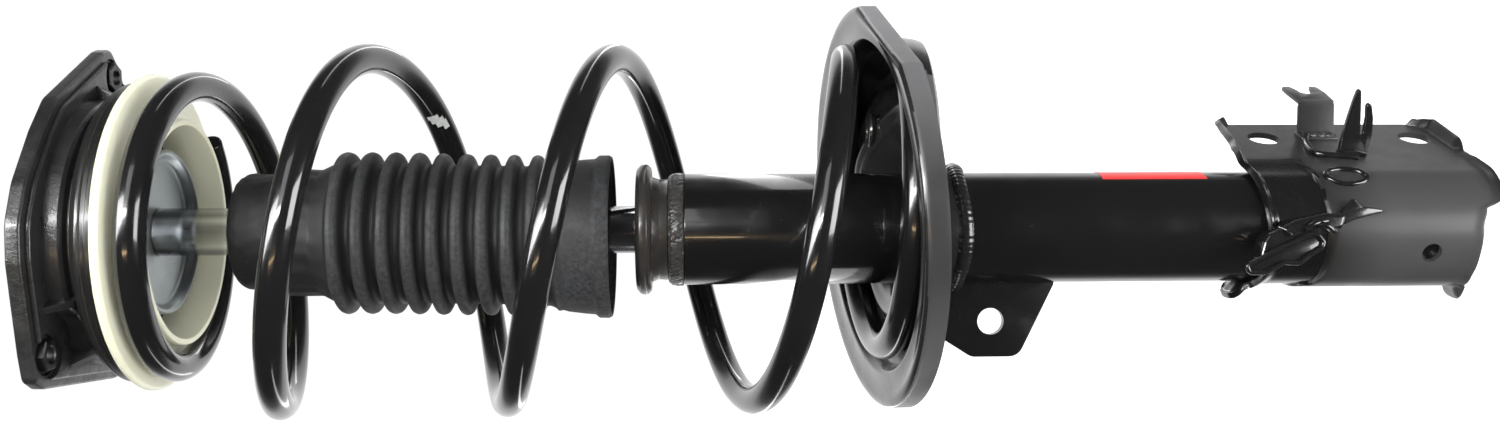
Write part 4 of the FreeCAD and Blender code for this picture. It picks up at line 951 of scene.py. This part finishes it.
# ---------------------------------------------------------------------------
# Lower spring seat: a pressed pan worked out as a height over the polar grid
# ---------------------------------------------------------------------------
PAN_C = UP * 10.0 - FRONT * 14.0       # rim
PAN_M = UP * 10.5 - FRONT * 4.0        # mouth of the well
PAN_B = UP * 11.0                      # bed
Z_PAN = -363.5


def pan_floor(phi):
    """Height of the spring's bed at an angle from UP towards FRONT, in degrees from 0 to 360."""
    # the last turn passes these angles at turn = 1440 + (360 - phi)
    turn = 1440.0 + ((360.0 - phi) % 360.0)
    xs = [s[0] for s in STATIONS]
    if turn > 1790 or turn < 1512:
        # past the wire's end the bed stays low, then climbs to the rising strand
        tt = turn if turn > 1790 else turn + 360.0
        lo = -hermite(xs, [s[1] for s in STATIONS], 1790.0)
        hi = -hermite(xs, [s[1] for s in STATIONS], 1512.0)
        return lo + (hi - lo) * smoothstep(1806.0, 1872.0, tt) - WIRE - 0.5
    return -hermite(xs, [s[1] for s in STATIONS], turn) - WIRE - 0.5


def pan_point(r, phi, drop=0.0):
    """Point of the pan's upper face: r runs out over the bed, the wall of the well and the flat ring."""
    a = math.radians(phi)
    d = UP * math.cos(a) + FRONT * math.sin(a)
    rim_r = 96.0
    # the blank is trimmed straight over one stretch of the rim
    if 6.0 < phi < 50.0:
        rim_r = min(96.0, 96.0 * math.cos(math.radians(22.0)) / math.cos(math.radians(phi - 28.0)))
    if r <= 74.8:
        p = PAN_B + d * r
    elif r <= 80.0:
        t = (r - 74.8) / 5.2
        p = (PAN_B + d * 74.8) * (1 - t) + (PAN_M + d * 78.5) * t
    else:
        t = (r - 80.0) / 16.0
        p = (PAN_M + d * 78.5) * (1 - t) + (PAN_C + d * rim_r) * t
    u, f = float(p @ UP), float(p @ FRONT)
    rim = Z_PAN + (u - 10.0) * 0.068 - f * 0.14
    bed = max(pan_floor(phi), -385.2)
    if r >= 92.0:
        t = min(1.0, (r - 92.0) / 4.0)
        z = rim - 3.0 * (1 - math.sqrt(max(0.0, 1 - t * t)))
    elif r >= 80.6:
        z = rim - 0.6 * math.sin(math.pi * (r - 80.6) / 11.4)
    elif r >= 75.0:
        z = bed + 1.8 + (rim - bed - 1.8) * smoothstep(74.6, 80.6, r)
    elif r >= 58.0:
        x = (r - 66.5) / 9.0
        z = bed + 1.8 * x * x
    else:
        inner = bed + 5.0
        if r >= 51.0:
            z = inner + (bed + 1.8 - inner) * smoothstep(51, 58, r)
        elif r >= 44:
            z = inner - 2.5 * (1 - smoothstep(44, 51, r))
        else:
            z = (inner - 2.5) + (-388.0 - (inner - 2.5)) * (1 - smoothstep(36.0, 44, r))
    return np.array([p[0], p[1], z - drop])


def build_pan():
    rs = [36.5, 37.5, 38.5, 40, 41.5, 43, 44, 45.5, 47, 48.5, 50, 51, 52, 53, 54, 55, 56, 57, 58, 59.5, 61, 62.5, 64, 65.5, 67, 68.5, 70, 71.5, 73, 74, 74.8,
          75.4, 76.2, 77.0, 77.8, 78.6, 79.3, 80.0, 80.6, 81.6, 83, 84.5, 86, 87.5, 89, 90.5, 92, 92.8, 93.6, 94.3, 94.9, 95.4, 95.8, 96.0]
    n = 360
    verts, faces = [], []
    for j in range(n):
        phi = 360.0 * j / n
        for r in rs:
            verts.append(pan_point(r, phi))
        for dz in (2.6, 5.0, 7.4):
            verts.append(pan_point(96.0, phi, dz))
    m = len(rs) + 3
    for j in range(n):
        k = (j + 1) % n
        for i in range(m - 1):
            faces.append((j * m + i, j * m + i + 1, k * m + i + 1, k * m + i))
    pan = new_object("pan", verts, faces)
    recalc(pan)
    # make sure that the thickness goes downwards
    up_sum = sum(p.normal.z for p in pan.data.polygons)
    if up_sum < 0:
        bm = bmesh.new()
        bm.from_mesh(pan.data)
        bmesh.ops.reverse_faces(bm, faces=bm.faces)
        bm.to_mesh(pan.data)
        bm.free()
    s = pan.modifiers.new("sheet", "SOLIDIFY")
    s.thickness = 2.6 * MM
    s.offset = -1
    s.use_even_offset = False
    apply_all(pan)
    bevel(pan, 0.5, 2, 50)
    apply_all(pan)
    # drain hole, bored through the bed beside the tube on the far side of the front
    c = UP * 48 - FRONT * 40
    cut(pan, rod_between("drain", c + [0, 0, -420], c + [0, 0, -340], 6.5, 64))
    # hub: cone running down to the tube
    hub = lathe("hub", soften([(26.05, -401, 0.2), (28.9, -401, 0.6), (29.4, -393.5, 4.0), (36.6, -388.3, 2.0), (46.5, -384.9, 0.5), (47.0, -387.4, 0.5),
                               (49.0, -391.5, 0.5), (37.0, -391.9, 3.0), (33.0, -394.5, 2.0), (26.05, -394.5, 0.2)], 0.5, 4), 160)
    # fill between the hub and the offset pan: a floor ring square to the axis
    vs, fs = [], []
    for j in range(n):
        a = 2 * math.pi * j / n
        d = UP * math.cos(a) + FRONT * math.sin(a)
        vs.append(d * 26.1 + np.array([0, 0, -388.0]))
        vs.append(PAN_B + d * 37.5 + np.array([0, 0, -388.0]))
        vs.append(PAN_B + d * 37.5 + np.array([0, 0, -390.6]))
        vs.append(d * 26.1 + np.array([0, 0, -390.6]))
    for j in range(n):
        k = (j + 1) % n
        for i in range(4):
            fs.append((j * 4 + i, j * 4 + (i + 1) % 4, k * 4 + (i + 1) % 4, k * 4 + i))
    floor = new_object("floor_ring", vs, fs)
    recalc(floor)
    bead = lathe("bead", soften([(6.6, -2.0, 0.3), (8.4, -2.0, 0.3), (9.6, 0.4, 0.8), (9.0, 1.6, 0.8), (7.6, 2.0, 0.8), (6.6, 1.0, 0.6)], 0.5, 4), 72)
    zb = float(pan_point(float(np.linalg.norm(c - PAN_B)), math.degrees(math.atan2(float((c - PAN_B) @ FRONT), float((c - PAN_B) @ UP))) % 360.0)[2])
    for v in bead.data.vertices:
        v.co += Vector((c + [0, 0, zb]) * MM)
    ob = join("lower_spring_seat_visual", pan, hub, floor, bead)
    smooth(ob, 40)
    M_SEAT.put(ob)
    # the skirt's outer faces take the skirt material, whose colour carries the painted reflection
    ob.data.materials.append(M_SKIRT.m)
    for poly in ob.data.polygons:
        p = np.array(poly.center) / MM - PAN_C
        if math.hypot(float(p @ UP), float(p @ FRONT)) > 88.0 and abs(poly.normal.z) < 0.45:
            poly.material_index = 1
    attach(ob, "strut_body")
    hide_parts("lower_spring_seat")
    return ob


build_pan()


def build_weld():
    """Hand-run bead with uneven ripples round the hub."""
    n, k = 360, 14
    rng = np.random.RandomState(7)
    lump = np.cumsum(rng.normal(0, 1, n))
    lump = lump - np.linspace(lump[0], lump[-1], n)
    lump = lump / np.max(np.abs(lump))
    verts, faces = [], []
    for j in range(n):
        th = 2 * math.pi * j / n
        ripple = 0.28 * abs(math.sin(th * 34 + 1.5 * lump[j]))
        rr = 3.0 + 0.7 * lump[j] + ripple
        zc = -402.4 + 0.9 * math.sin(3 * th + 0.7) + 0.5 * lump[j]
        for i in range(k):
            a = 2 * math.pi * i / k
            verts.append(((27.6 + rr * 0.9 * math.cos(a)) * math.cos(th), (27.6 + rr * 0.9 * math.cos(a)) * math.sin(th), zc + rr * 1.15 * math.sin(a)))
    for j in range(n):
        m = (j + 1) % n
        for i in range(k):
            faces.append((j * k + i, m * k + i, m * k + (i + 1) % k, j * k + (i + 1) % k))
    ob = new_object("seat_weld_visual", verts, faces)
    recalc(ob)
    smooth(ob, 60)
    M_WELD.put(ob)
    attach(ob, "strut_body")
    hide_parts("seat_weld")


build_weld()


def at(a, u, f):
    """A point from its distance down the strut from the guide line, its height and its depth towards the front."""
    return np.array([0, 0, -(a + 297.0)]) + UP * u + FRONT * f


# --- stabiliser link tab ----------------------------------------------------
def build_tab():
    out = [(99.5, -20), (154.0, -20), (153.0, -27, 3), (136.0, -61, 7), (113.5, -61, 6), (99.4, -52, 4)]
    tab = plate("tab", out, 5.0, (0, 0, 0) + at(0, 0, 0), DOWN, UP, corner=0.3, edge=0.9)
    cut(tab, rod_between("hole", at(122.8, -44.2, -20), at(122.8, -44.2, 20), 6.25, 64),
        rod_between("tube", at(60, 0, 0), at(200, 0, 0), 26.0, 128))
    smooth(tab, 35)
    tab.name = "stabiliser_link_tab_visual"
    M_TAB.put(tab)
    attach(tab, "strut_body")
    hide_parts("stabiliser_link_tab")


build_tab()

# ---------------------------------------------------------------------------
# Knuckle bracket: the pressed shell, laid out by distance round the U
# ---------------------------------------------------------------------------
EAR = 60.0
RM = 27.55      # middle of the sheet
ARC = math.pi * RM


def shell_frame(s):
    """Point and outward normal of the middle of the sheet: s runs from the edge of the ear at -Y, round the shell, to the edge of the other ear."""
    if s < EAR:
        return np.array([EAR - s, -RM, 0.0]), np.array([0.0, -1.0, 0.0])
    if s > EAR + ARC:
        return np.array([s - EAR - ARC, RM, 0.0]), np.array([0.0, 1.0, 0.0])
    t = -math.pi / 2 - (s - EAR) / RM
    n = np.array([math.cos(t), math.sin(t), 0.0])
    return n * RM, n


def pw(x, pts):
    """Straight-line table look-up with smooth joins."""
    if x <= pts[0][0]:
        return pts[0][1]
    for (x0, y0), (x1, y1) in zip(pts, pts[1:]):
        if x <= x1:
            t = (x - x0) / (x1 - x0)
            t = t * t * (3 - 2 * t)
            return y0 + (y1 - y0) * t
    return pts[-1][1]


def fold_s(s):
    """0 at the -Y ear edge to 1 at the back of the shell, the same for both halves."""
    total = 2 * EAR + ARC
    return min(s, total - s)


def shell_top(s):
    q = fold_s(s)
    if s <= EAR + ARC / 2:
        return pw(q, [(0, -548), (4, -544.5), (8, -543.5), (30, -541.8), (42, -539.5), (52, -538.8), (60, -540.4), (72, -541), (92, -543), (104, -543)])
    return pw(q, [(0, -553), (4, -549), (8, -547.5), (30, -545.5), (44, -541), (58, -541), (62, -536.0), (66, -534.2), (72, -534.5), (77, -537), (81, -542), (90, -543), (104, -543)])


def shell_low(s):
    q = fold_s(s)
    if s <= EAR + ARC / 2:
        return pw(q, [(0, -648), (3, -653), (7, -656), (32, -656.5), (40, -655), (44, -654.8), (51, -655.4), (60, -655.4), (72, -654.8), (80, -652.5), (84, -645), (92, -643), (104, -643)])
    return pw(q, [(0, -648), (3, -653), (7, -656), (40, -656), (54, -654), (60, -650), (64, -648.5), (76, -647.5), (82, -645), (92, -643.5), (104, -643)])


def build_bracket():
    total = 2 * EAR + ARC
    ns, nz = 180, 96
    verts, faces = [], []
    for i in range(ns + 1):
        s = total * i / ns
        p, nrm = shell_frame(s)
        top, low = shell_top(s), shell_low(s)
        q = fold_s(s)
        for j in range(nz + 1):
            w = j / nz
            z = top + (low - top) * w
            dtop, dlow = top - z, z - low
            # flared lip at the top edge, and the rounded lug under the shell
            if s <= EAR + ARC / 2:
                flare = pw(q, [(0, 5.0), (20, 5.5), (44, 5.0), (56, 3.6), (80, 2.8), (104, 3.2)])
                lip = pw(q, [(0, 4.0), (8, 6.0), (30, 5.4), (38, 1.0), (44, 1.5), (50, 2.2), (62, 2.4), (76, 2.2), (83, 0.4), (104, 0.2)])
            else:
                flare = pw(q, [(0, 5.0), (44, 5.0), (58, 3.6), (64, 7.0), (74, 7.0), (80, 3.0), (104, 3.2)])
                lip = pw(q, [(0, 4.0), (44, 4.0), (56, 3.0), (63, 7.0), (72, 7.0), (78, 1.0), (104, 0.2)])
            flare *= (1 - smoothstep(0, 5.0 if q < 56 or s <= EAR + ARC / 2 else 9.0, dtop)) ** 1.4
            lip *= (1 - smoothstep(0, 5.0, dlow)) ** 1.4
            # the shell is drawn in against the tube over its first 30 mm
            draw = -1.5 * (1 - smoothstep(28.0, 31.0, dtop)) * smoothstep(44, 60, q)
            verts.append(p + nrm * (flare + lip + draw) + np.array([0, 0, z]))
    for i in range(ns):
        for j in range(nz):
            a = i * (nz + 1) + j
            faces.append((a, a + 1, a + nz + 2, a + nz + 1))
    ob = new_object("knuckle_bracket_visual", verts, faces)
    recalc(ob)
    s = ob.modifiers.new("sheet", "SOLIDIFY")
    s.thickness = 2.9 * MM
    s.offset = 0
    apply_all(ob)
    bevel(ob, 0.7, 3, 50)
    apply_all(ob)
    tools = []
    for z in (-563.5, -640.0):
        tools.append(rod_between("bolt", (41, -60, z), (41, 60, z), 7.75, 64))
    ang = math.radians(-66.0 - 115.0)
    d = np.array([math.cos(ang), math.sin(ang), 0])
    tools.append(rod_between("drain", d * 18 + [0, 0, -620], d * 40 + [0, 0, -620], 4.6, 48))
    cut(ob, *tools)
    smooth(ob, 40)
    M_BRACKET.put(ob)
    # painted shade: the shell above the step, round the tube, takes the tube's black coat, darker than the bracket
    # paint; the step itself is real
    ob.data.materials.append(M_TUBE.m)
    for poly in ob.data.polygons:
        c = poly.center
        x, y, z = c.x / MM, c.y / MM, c.z / MM
        if x < 14 and z > -570.6:
            poly.material_index = 1
    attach(ob, "strut_body")
    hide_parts("knuckle_bracket")
    return ob


build_bracket()


# --- wheel sensor cable bracket, forked clip, hose bracket -------------------
def build_cable_bracket():
    z0 = -563.5
    # upright: its face looks to -X, it stands out along -Y
    up = plate("upright", [(-28.6, -18.5), (-28.6, -36.5), (-34, -35.6, 4), (-46, -33.4, 2), (-48.0, -32.4, 1.2), (-48.0, -15.8, 1.2), (-44, -15.6, 3), (-34, -17.2, 6)], 1.9,
               (44, 0, z0), (0, 1, 0), (0, 0, 1), corner=0.4, edge=0.5)
    top = plate("top", [(43.2, -15.0), (43.2, -33.0), (56, -33.8, 3), (64.4, -32.8, 1.6), (65.2, -29.2, 1.6), (59.5, -27.9, 1.5), (55.4, -27.8, 3), (53.6, -24.5, 3),
                        (55.4, -21.2, 3), (59.5, -20.9, 1.5), (65.2, -19.0, 1.6), (64.2, -14.9, 1.6), (56, -14.6, 3)], 1.9,
                (0, -47.0, z0), (1, 0, 0), (0, 0, 1), corner=0.4, edge=0.5)
    bend = sweep("bend", [(44.1, -46.9, z0 - 15.4 - 17.2 * k / 8) for k in range(9)], 1.05, 16)
    foot = plate("foot", [(38, -17.6, 2), (38, -37.4, 2), (48, -37.4, 2), (48, -17.6, 2)], 1.6, (0, -29.6, z0), (1, 0, 0), (0, 0, 1), corner=0.4, edge=0.6)
    weld = sweep("weld", [(41.6 + 0.5 * math.sin(2.1 * k), -29.9, z0 - 18.5 - 18.0 * k / 14) for k in range(15)], [1.5 + 0.4 * math.sin(1.7 * k) for k in range(15)], 16)
    ob = join("sensor_cable_bracket_visual", up, top, bend, foot, weld)
    smooth(ob, 35)
    M_BRACKET.put(ob)
    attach(ob, "strut_body")
    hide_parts("sensor_cable_bracket")


build_cable_bracket()


def spline(points, n=12):
    """Smooth curve through points."""
    P = [np.array(p, float) for p in points]
    out = []
    for i in range(len(P) - 1):
        a, b, c, d = P[max(i - 1, 0)], P[i], P[i + 1], P[min(i + 2, len(P) - 1)]
        for k in range(n):
            t = k / n
            out.append(0.5 * ((2 * b) + (c - a) * t + (2 * a - 5 * b + 4 * c - d) * t * t + (3 * b - a - 3 * c + d) * t ** 3))
    out.append(P[-1])
    return out


def build_fork():
    z0 = -563.5
    out = [(-28.6, -26.4, 1), (-28.6, -40.0, 1.5), (-40, -41.0, 4), (-49, -39.7, 6), (-55.6, -37.6, 1.0), (-56.4, -36.2, 0.9), (-55.2, -35.2, 0.9), (-49, -36.2, 3),
           (-41.4, -36.4, 0.7), (-41.2, -35.0, 0.7), (-51.5, -33.2, 4), (-62.6, -31.2, 0.8), (-63.4, -30.2, 0.8), (-62.2, -29.2, 0.9), (-58, -28.4, 4), (-47.5, -27.2, 8), (-35, -26.4, 6)]
    ob = plate("forked_clip_visual", out, 2.6, (17, 0, z0), (0, 1, 0), (0, 0, 1), corner=0.3, edge=0.9, segs=4)
    # formed root of the blade and the strap that runs to it from the cable bracket
    root = sweep("root", spline([(17, -30.2, z0 - 26.5), (17.4, -31.6, z0 - 33), (17, -30.2, z0 - 40.0)], 10), 2.0, 16)
    strap = sweep("strap", spline([(41.5, -30.3, z0 - 22.0), (32, -30.4, z0 - 17.5), (20, -30.5, z0 - 15.5), (15.4, -30.6, z0 - 19.5), (14.2, -30.6, z0 - 29.0),
                                   (12.0, -30.6, z0 - 34.5)], 12), 1.5, 14)
    # oval bead on the rounded shell below the blade
    loop = []
    for k in range(48):
        t = 2 * math.pi * k / 48
        phi = math.radians(36 + 11.5 * math.sin(t))
        loop.append((UP * math.cos(phi) + FRONT * math.sin(phi)) * 29.4 + np.array([0, 0, -584.0 + 9.5 * math.cos(t)]))
    loop.append(loop[0])
    bead = sweep("bead", loop, 1.3, 14, caps=False)
    ob = join("forked_clip_visual", ob, root, strap, bead)
    smooth(ob, 40)
    M_CLIP.put(ob)
    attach(ob, "strut_body")
    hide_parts("forked_clip")


build_fork()


def build_hose():
    """Formed channel welded across the front of the shell, with a forked tail."""
    pieces = []
    web = [(229.8, -16.6, 1.5), (231.2, -19.8, 2.0), (238, -20.0, 3), (247, -15.4, 3), (254, -15.8, 2.5), (258.4, -12.0, 2.5), (264.4, -8.6, 1.2), (265.0, -6.4, 1.2),
           (262.4, -2.8, 2), (258, -3.4, 2), (246, -8.7, 6)]
    # shallow tray: a floor with its turned-out edge standing towards the viewer
    pieces.append(plate("web", web, 1.6, at(0, 0, 39.6), DOWN, UP, corner=0.4, edge=0.5))
    loop2 = soften([(x, v, r) for x, v, r in web], 1.0, 5)
    pts = [at(x, v, 41.0) for x, v in loop2] + [at(loop2[0][0], loop2[0][1], 41.0)]
    pieces.append(sweep("web_edge", pts, 1.05, 12, caps=False))
    body = [(236.5, -15.5, 2), (238.6, -6.0, 2), (241, -2.4, 3), (253.9, 3.6, 4), (267, 6.5, 3), (277, 6.3, 2), (275, -0.6, 3), (266, -2.8, 3), (262, -5, 2), (250, -11, 4)]
    pieces.append(plate("body", body, 11.0, at(0, 0, 33.8), DOWN, UP, corner=0.5, edge=2.2, segs=5))
    # small raised fold and weld lumps on the body
    pieces.append(sweep("fold", spline([at(246, 0.5, 38.0), at(248.5, -1.0, 40.2), at(250.5, -3.5, 40.6)], 8), 1.0, 12))
    pieces.append(sweep("fold2", spline([at(262, 2.0, 39.0), at(266.5, 1.0, 40.6), at(270.5, -1.5, 39.0), at(272.5, 1.5, 36)], 8), 1.5, 12))
    pieces.append(sweep("fold3", spline([at(257, -1.0, 40.0), at(261.5, 2.0, 40.2), at(268, 3.2, 38.0)], 8), 1.3, 12))
    # neck and forked tail, lying on the shell
    tail = [(270, 5.5, 1), (277, 5.6, 1.5), (283.4, 12.8, 0.6), (284.6, 12.8, 0.6), (288.2, 9.4, 1.5), (297.4, 8.2, 0.5), (297.6, 6.8, 0.5), (285, 3.6, 2), (277, 0.0, 1.5), (270, 0.0, 1)]
    pieces.append(plate("tail", tail, 2.4, at(0, 0, 29.4), DOWN, UP, corner=0.3, edge=0.8))
    ob = join("hose_bracket_visual", *pieces)
    smooth(ob, 35)
    M_CLIP.put(ob)
    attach(ob, "strut_body")
    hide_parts("hose_bracket")


build_hose()


# --- plain red label on the tube ---------------------------------------------
def build_label():
    verts, faces = [], []
    nu, nv = 60, 24
    for i in range(nu + 1):
        for j in range(nv + 1):
            a = 173.5 + 49.5 * i / nu
            phi = math.radians(-22 + 52.0 * j / nv)
            d = UP * math.cos(phi) + FRONT * math.sin(phi)
            verts.append(d * 26.09 + np.array([0, 0, -(a + 297.0)]))
    for i in range(nu):
        for j in range(nv):
            k = i * (nv + 1) + j
            faces.append((k, k + 1, k + nv + 2, k + nv + 1))
    ob = new_object("plain_label", verts, faces)
    recalc(ob)
    m = ob.modifiers.new("film", "SOLIDIFY")
    m.thickness = 0.10 * MM
    m.offset = 0
    apply_all(ob)
    smooth(ob, 50)
    M_LABEL.put(ob)
    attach(ob, "strut_body")


build_label()

# ---------------------------------------------------------------------------
# Carried-over CAD nodes inside the assembly
# ---------------------------------------------------------------------------
for node, m in (("mount_rubber", M_RUBBER), ("inner_sleeve", M_STEEL), ("upper_washer", M_ZINC), ("rod_nut", M_ZINC), ("bearing_upper_race", M_STEEL),
                ("bearing_balls", M_STEEL), ("bearing_lower_race", M_STEEL), ("rebound_stop", M_STEEL), ("piston", M_STEEL), ("piston_ring", M_COVER),
                ("piston_nut", M_ZINC), ("rod_seal", M_BUMP), ("rod_guide", M_ALU), ("pressure_tube", M_STEEL), ("base_valve", M_STEEL), ("tube_end_cap", M_TUBE)):
    m.put(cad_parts[node])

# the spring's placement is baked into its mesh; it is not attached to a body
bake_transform(SPRING)

# ---------------------------------------------------------------------------
# Stage and light
# ---------------------------------------------------------------------------
LOW = START_BOX[0][2]


def build_stage():
    m = bpy.data.materials.new("floor_pale")
    m.use_nodes = True
    b = m.node_tree.nodes["Principled BSDF"]
    b.inputs["Base Color"].default_value = (0.92, 0.92, 0.92, 1)
    b.inputs["Roughness"].default_value = 0.9
    b.inputs["Specular IOR Level"].default_value = 0.1
    b.inputs["Emission Color"].default_value = (1, 1, 1, 1)
    b.inputs["Emission Strength"].default_value = 1.1
    me = bpy.data.meshes.new("floor")
    n, R = 96, 14.0
    z = LOW - 0.004
    vs = [(0, 0, z)] + [(R * math.cos(2 * math.pi * k / n), R * math.sin(2 * math.pi * k / n), z) for k in range(n)]
    me.from_pydata(vs, [], [(0, 1 + k, 1 + (k + 1) % n) for k in range(n)])
    ob = bpy.data.objects.new("floor", me)
    bpy.context.scene.collection.objects.link(ob)
    me.materials.append(m)
    ob.visible_glossy = False
    ob.visible_shadow = False


build_stage()


def build_world():
    w = bpy.data.worlds.new("studio")
    bpy.context.scene.world = w
    w.use_nodes = True
    nt = w.node_tree
    for n in list(nt.nodes):
        nt.nodes.remove(n)
    out = nt.nodes.new("ShaderNodeOutputWorld")
    tc = nt.nodes.new("ShaderNodeTexCoord")
    dot = nt.nodes.new("ShaderNodeVectorMath")
    dot.operation = "DOT_PRODUCT"
    nt.links.new(tc.outputs["Generated"], dot.inputs[0])
    dot.inputs[1].default_value = tuple(FRONT)
    ramp = nt.nodes.new("ShaderNodeValToRGB")
    mp = nt.nodes.new("ShaderNodeMapRange")
    mp.inputs["From Min"].default_value = -1
    mp.inputs["From Max"].default_value = 1
    nt.links.new(dot.outputs["Value"], mp.inputs["Value"])
    nt.links.new(mp.outputs["Result"], ramp.inputs["Fac"])
    els = ramp.color_ramp.elements
    els[0].position, els[0].color = 0.0, (1.0, 1.0, 1.0, 1)
    els[1].position, els[1].color = 1.0, (0.02, 0.02, 0.021, 1)
    for p, c in ((0.13, 1.0), (0.20, 0.26), (0.30, 0.05), (0.60, 0.024)):
        e = els.new(p)
        e.color = (c, c, c, 1)
    bg = nt.nodes.new("ShaderNodeBackground")
    nt.links.new(ramp.outputs["Color"], bg.inputs["Color"])
    bg.inputs["Strength"].default_value = 1.0
    white = nt.nodes.new("ShaderNodeBackground")
    white.inputs["Color"].default_value = (1, 1, 1, 1)
    white.inputs["Strength"].default_value = 1.02
    lp = nt.nodes.new("ShaderNodeLightPath")
    mix = nt.nodes.new("ShaderNodeMixShader")
    nt.links.new(lp.outputs["Is Camera Ray"], mix.inputs[0])
    nt.links.new(bg.outputs[0], mix.inputs[1])
    nt.links.new(white.outputs[0], mix.inputs[2])
    nt.links.new(mix.outputs[0], out.inputs["Surface"])


build_world()


def area(name, where, look, size, power, color=(1, 1, 1), size_y=None, spread=180.0):
    d = bpy.data.lights.new(name, "AREA")
    d.shape = "RECTANGLE"
    d.size = size
    d.size_y = size_y or size
    d.energy = power
    d.color = color
    d.spread = math.radians(spread)
    o = bpy.data.objects.new(name, d)
    bpy.context.scene.collection.objects.link(o)
    p = Vector(where)
    v = Vector(look) - p
    o.matrix_world = Matrix.Translation(p) @ v.to_track_quat("-Z", "Y").to_matrix().to_4x4()
    o.visible_camera = False
    return o


def pt(a, u, f):
    return Vector(at(a, u, f) * MM)


area("left_front", pt(-1400, 250, 900), pt(-80, 0, 0), 0.5, 24, size_y=1.2)
area("strip_left", pt(-700, 200, 950), pt(50, 0, 0), 0.10, 14, size_y=0.9)
area("soft_left", pt(-520, 620, 1050), pt(-100, 0, 0), 0.6, 2.6, size_y=0.6)
area("warm_left", pt(-420, -300, 1100), pt(0, 0, 0), 0.05, 1.0, (1.0, 0.72, 0.42), size_y=0.6)
area("right_front", pt(1500, 60, 800), pt(250, 0, 0), 0.7, 26, size_y=1.2)
area("top", pt(0, 1350, -900), pt(0, 0, 0), 2.2, 3.0, size_y=0.12)
area("low", pt(100, -1350, -900), pt(0, 0, 0), 2.2, 3.0, size_y=0.12)

sc = bpy.context.scene
sc.view_settings.view_transform = "Standard"
sc.view_settings.look = "None"
sc.view_settings.exposure = 0.0
sc.view_settings.gamma = 1.0
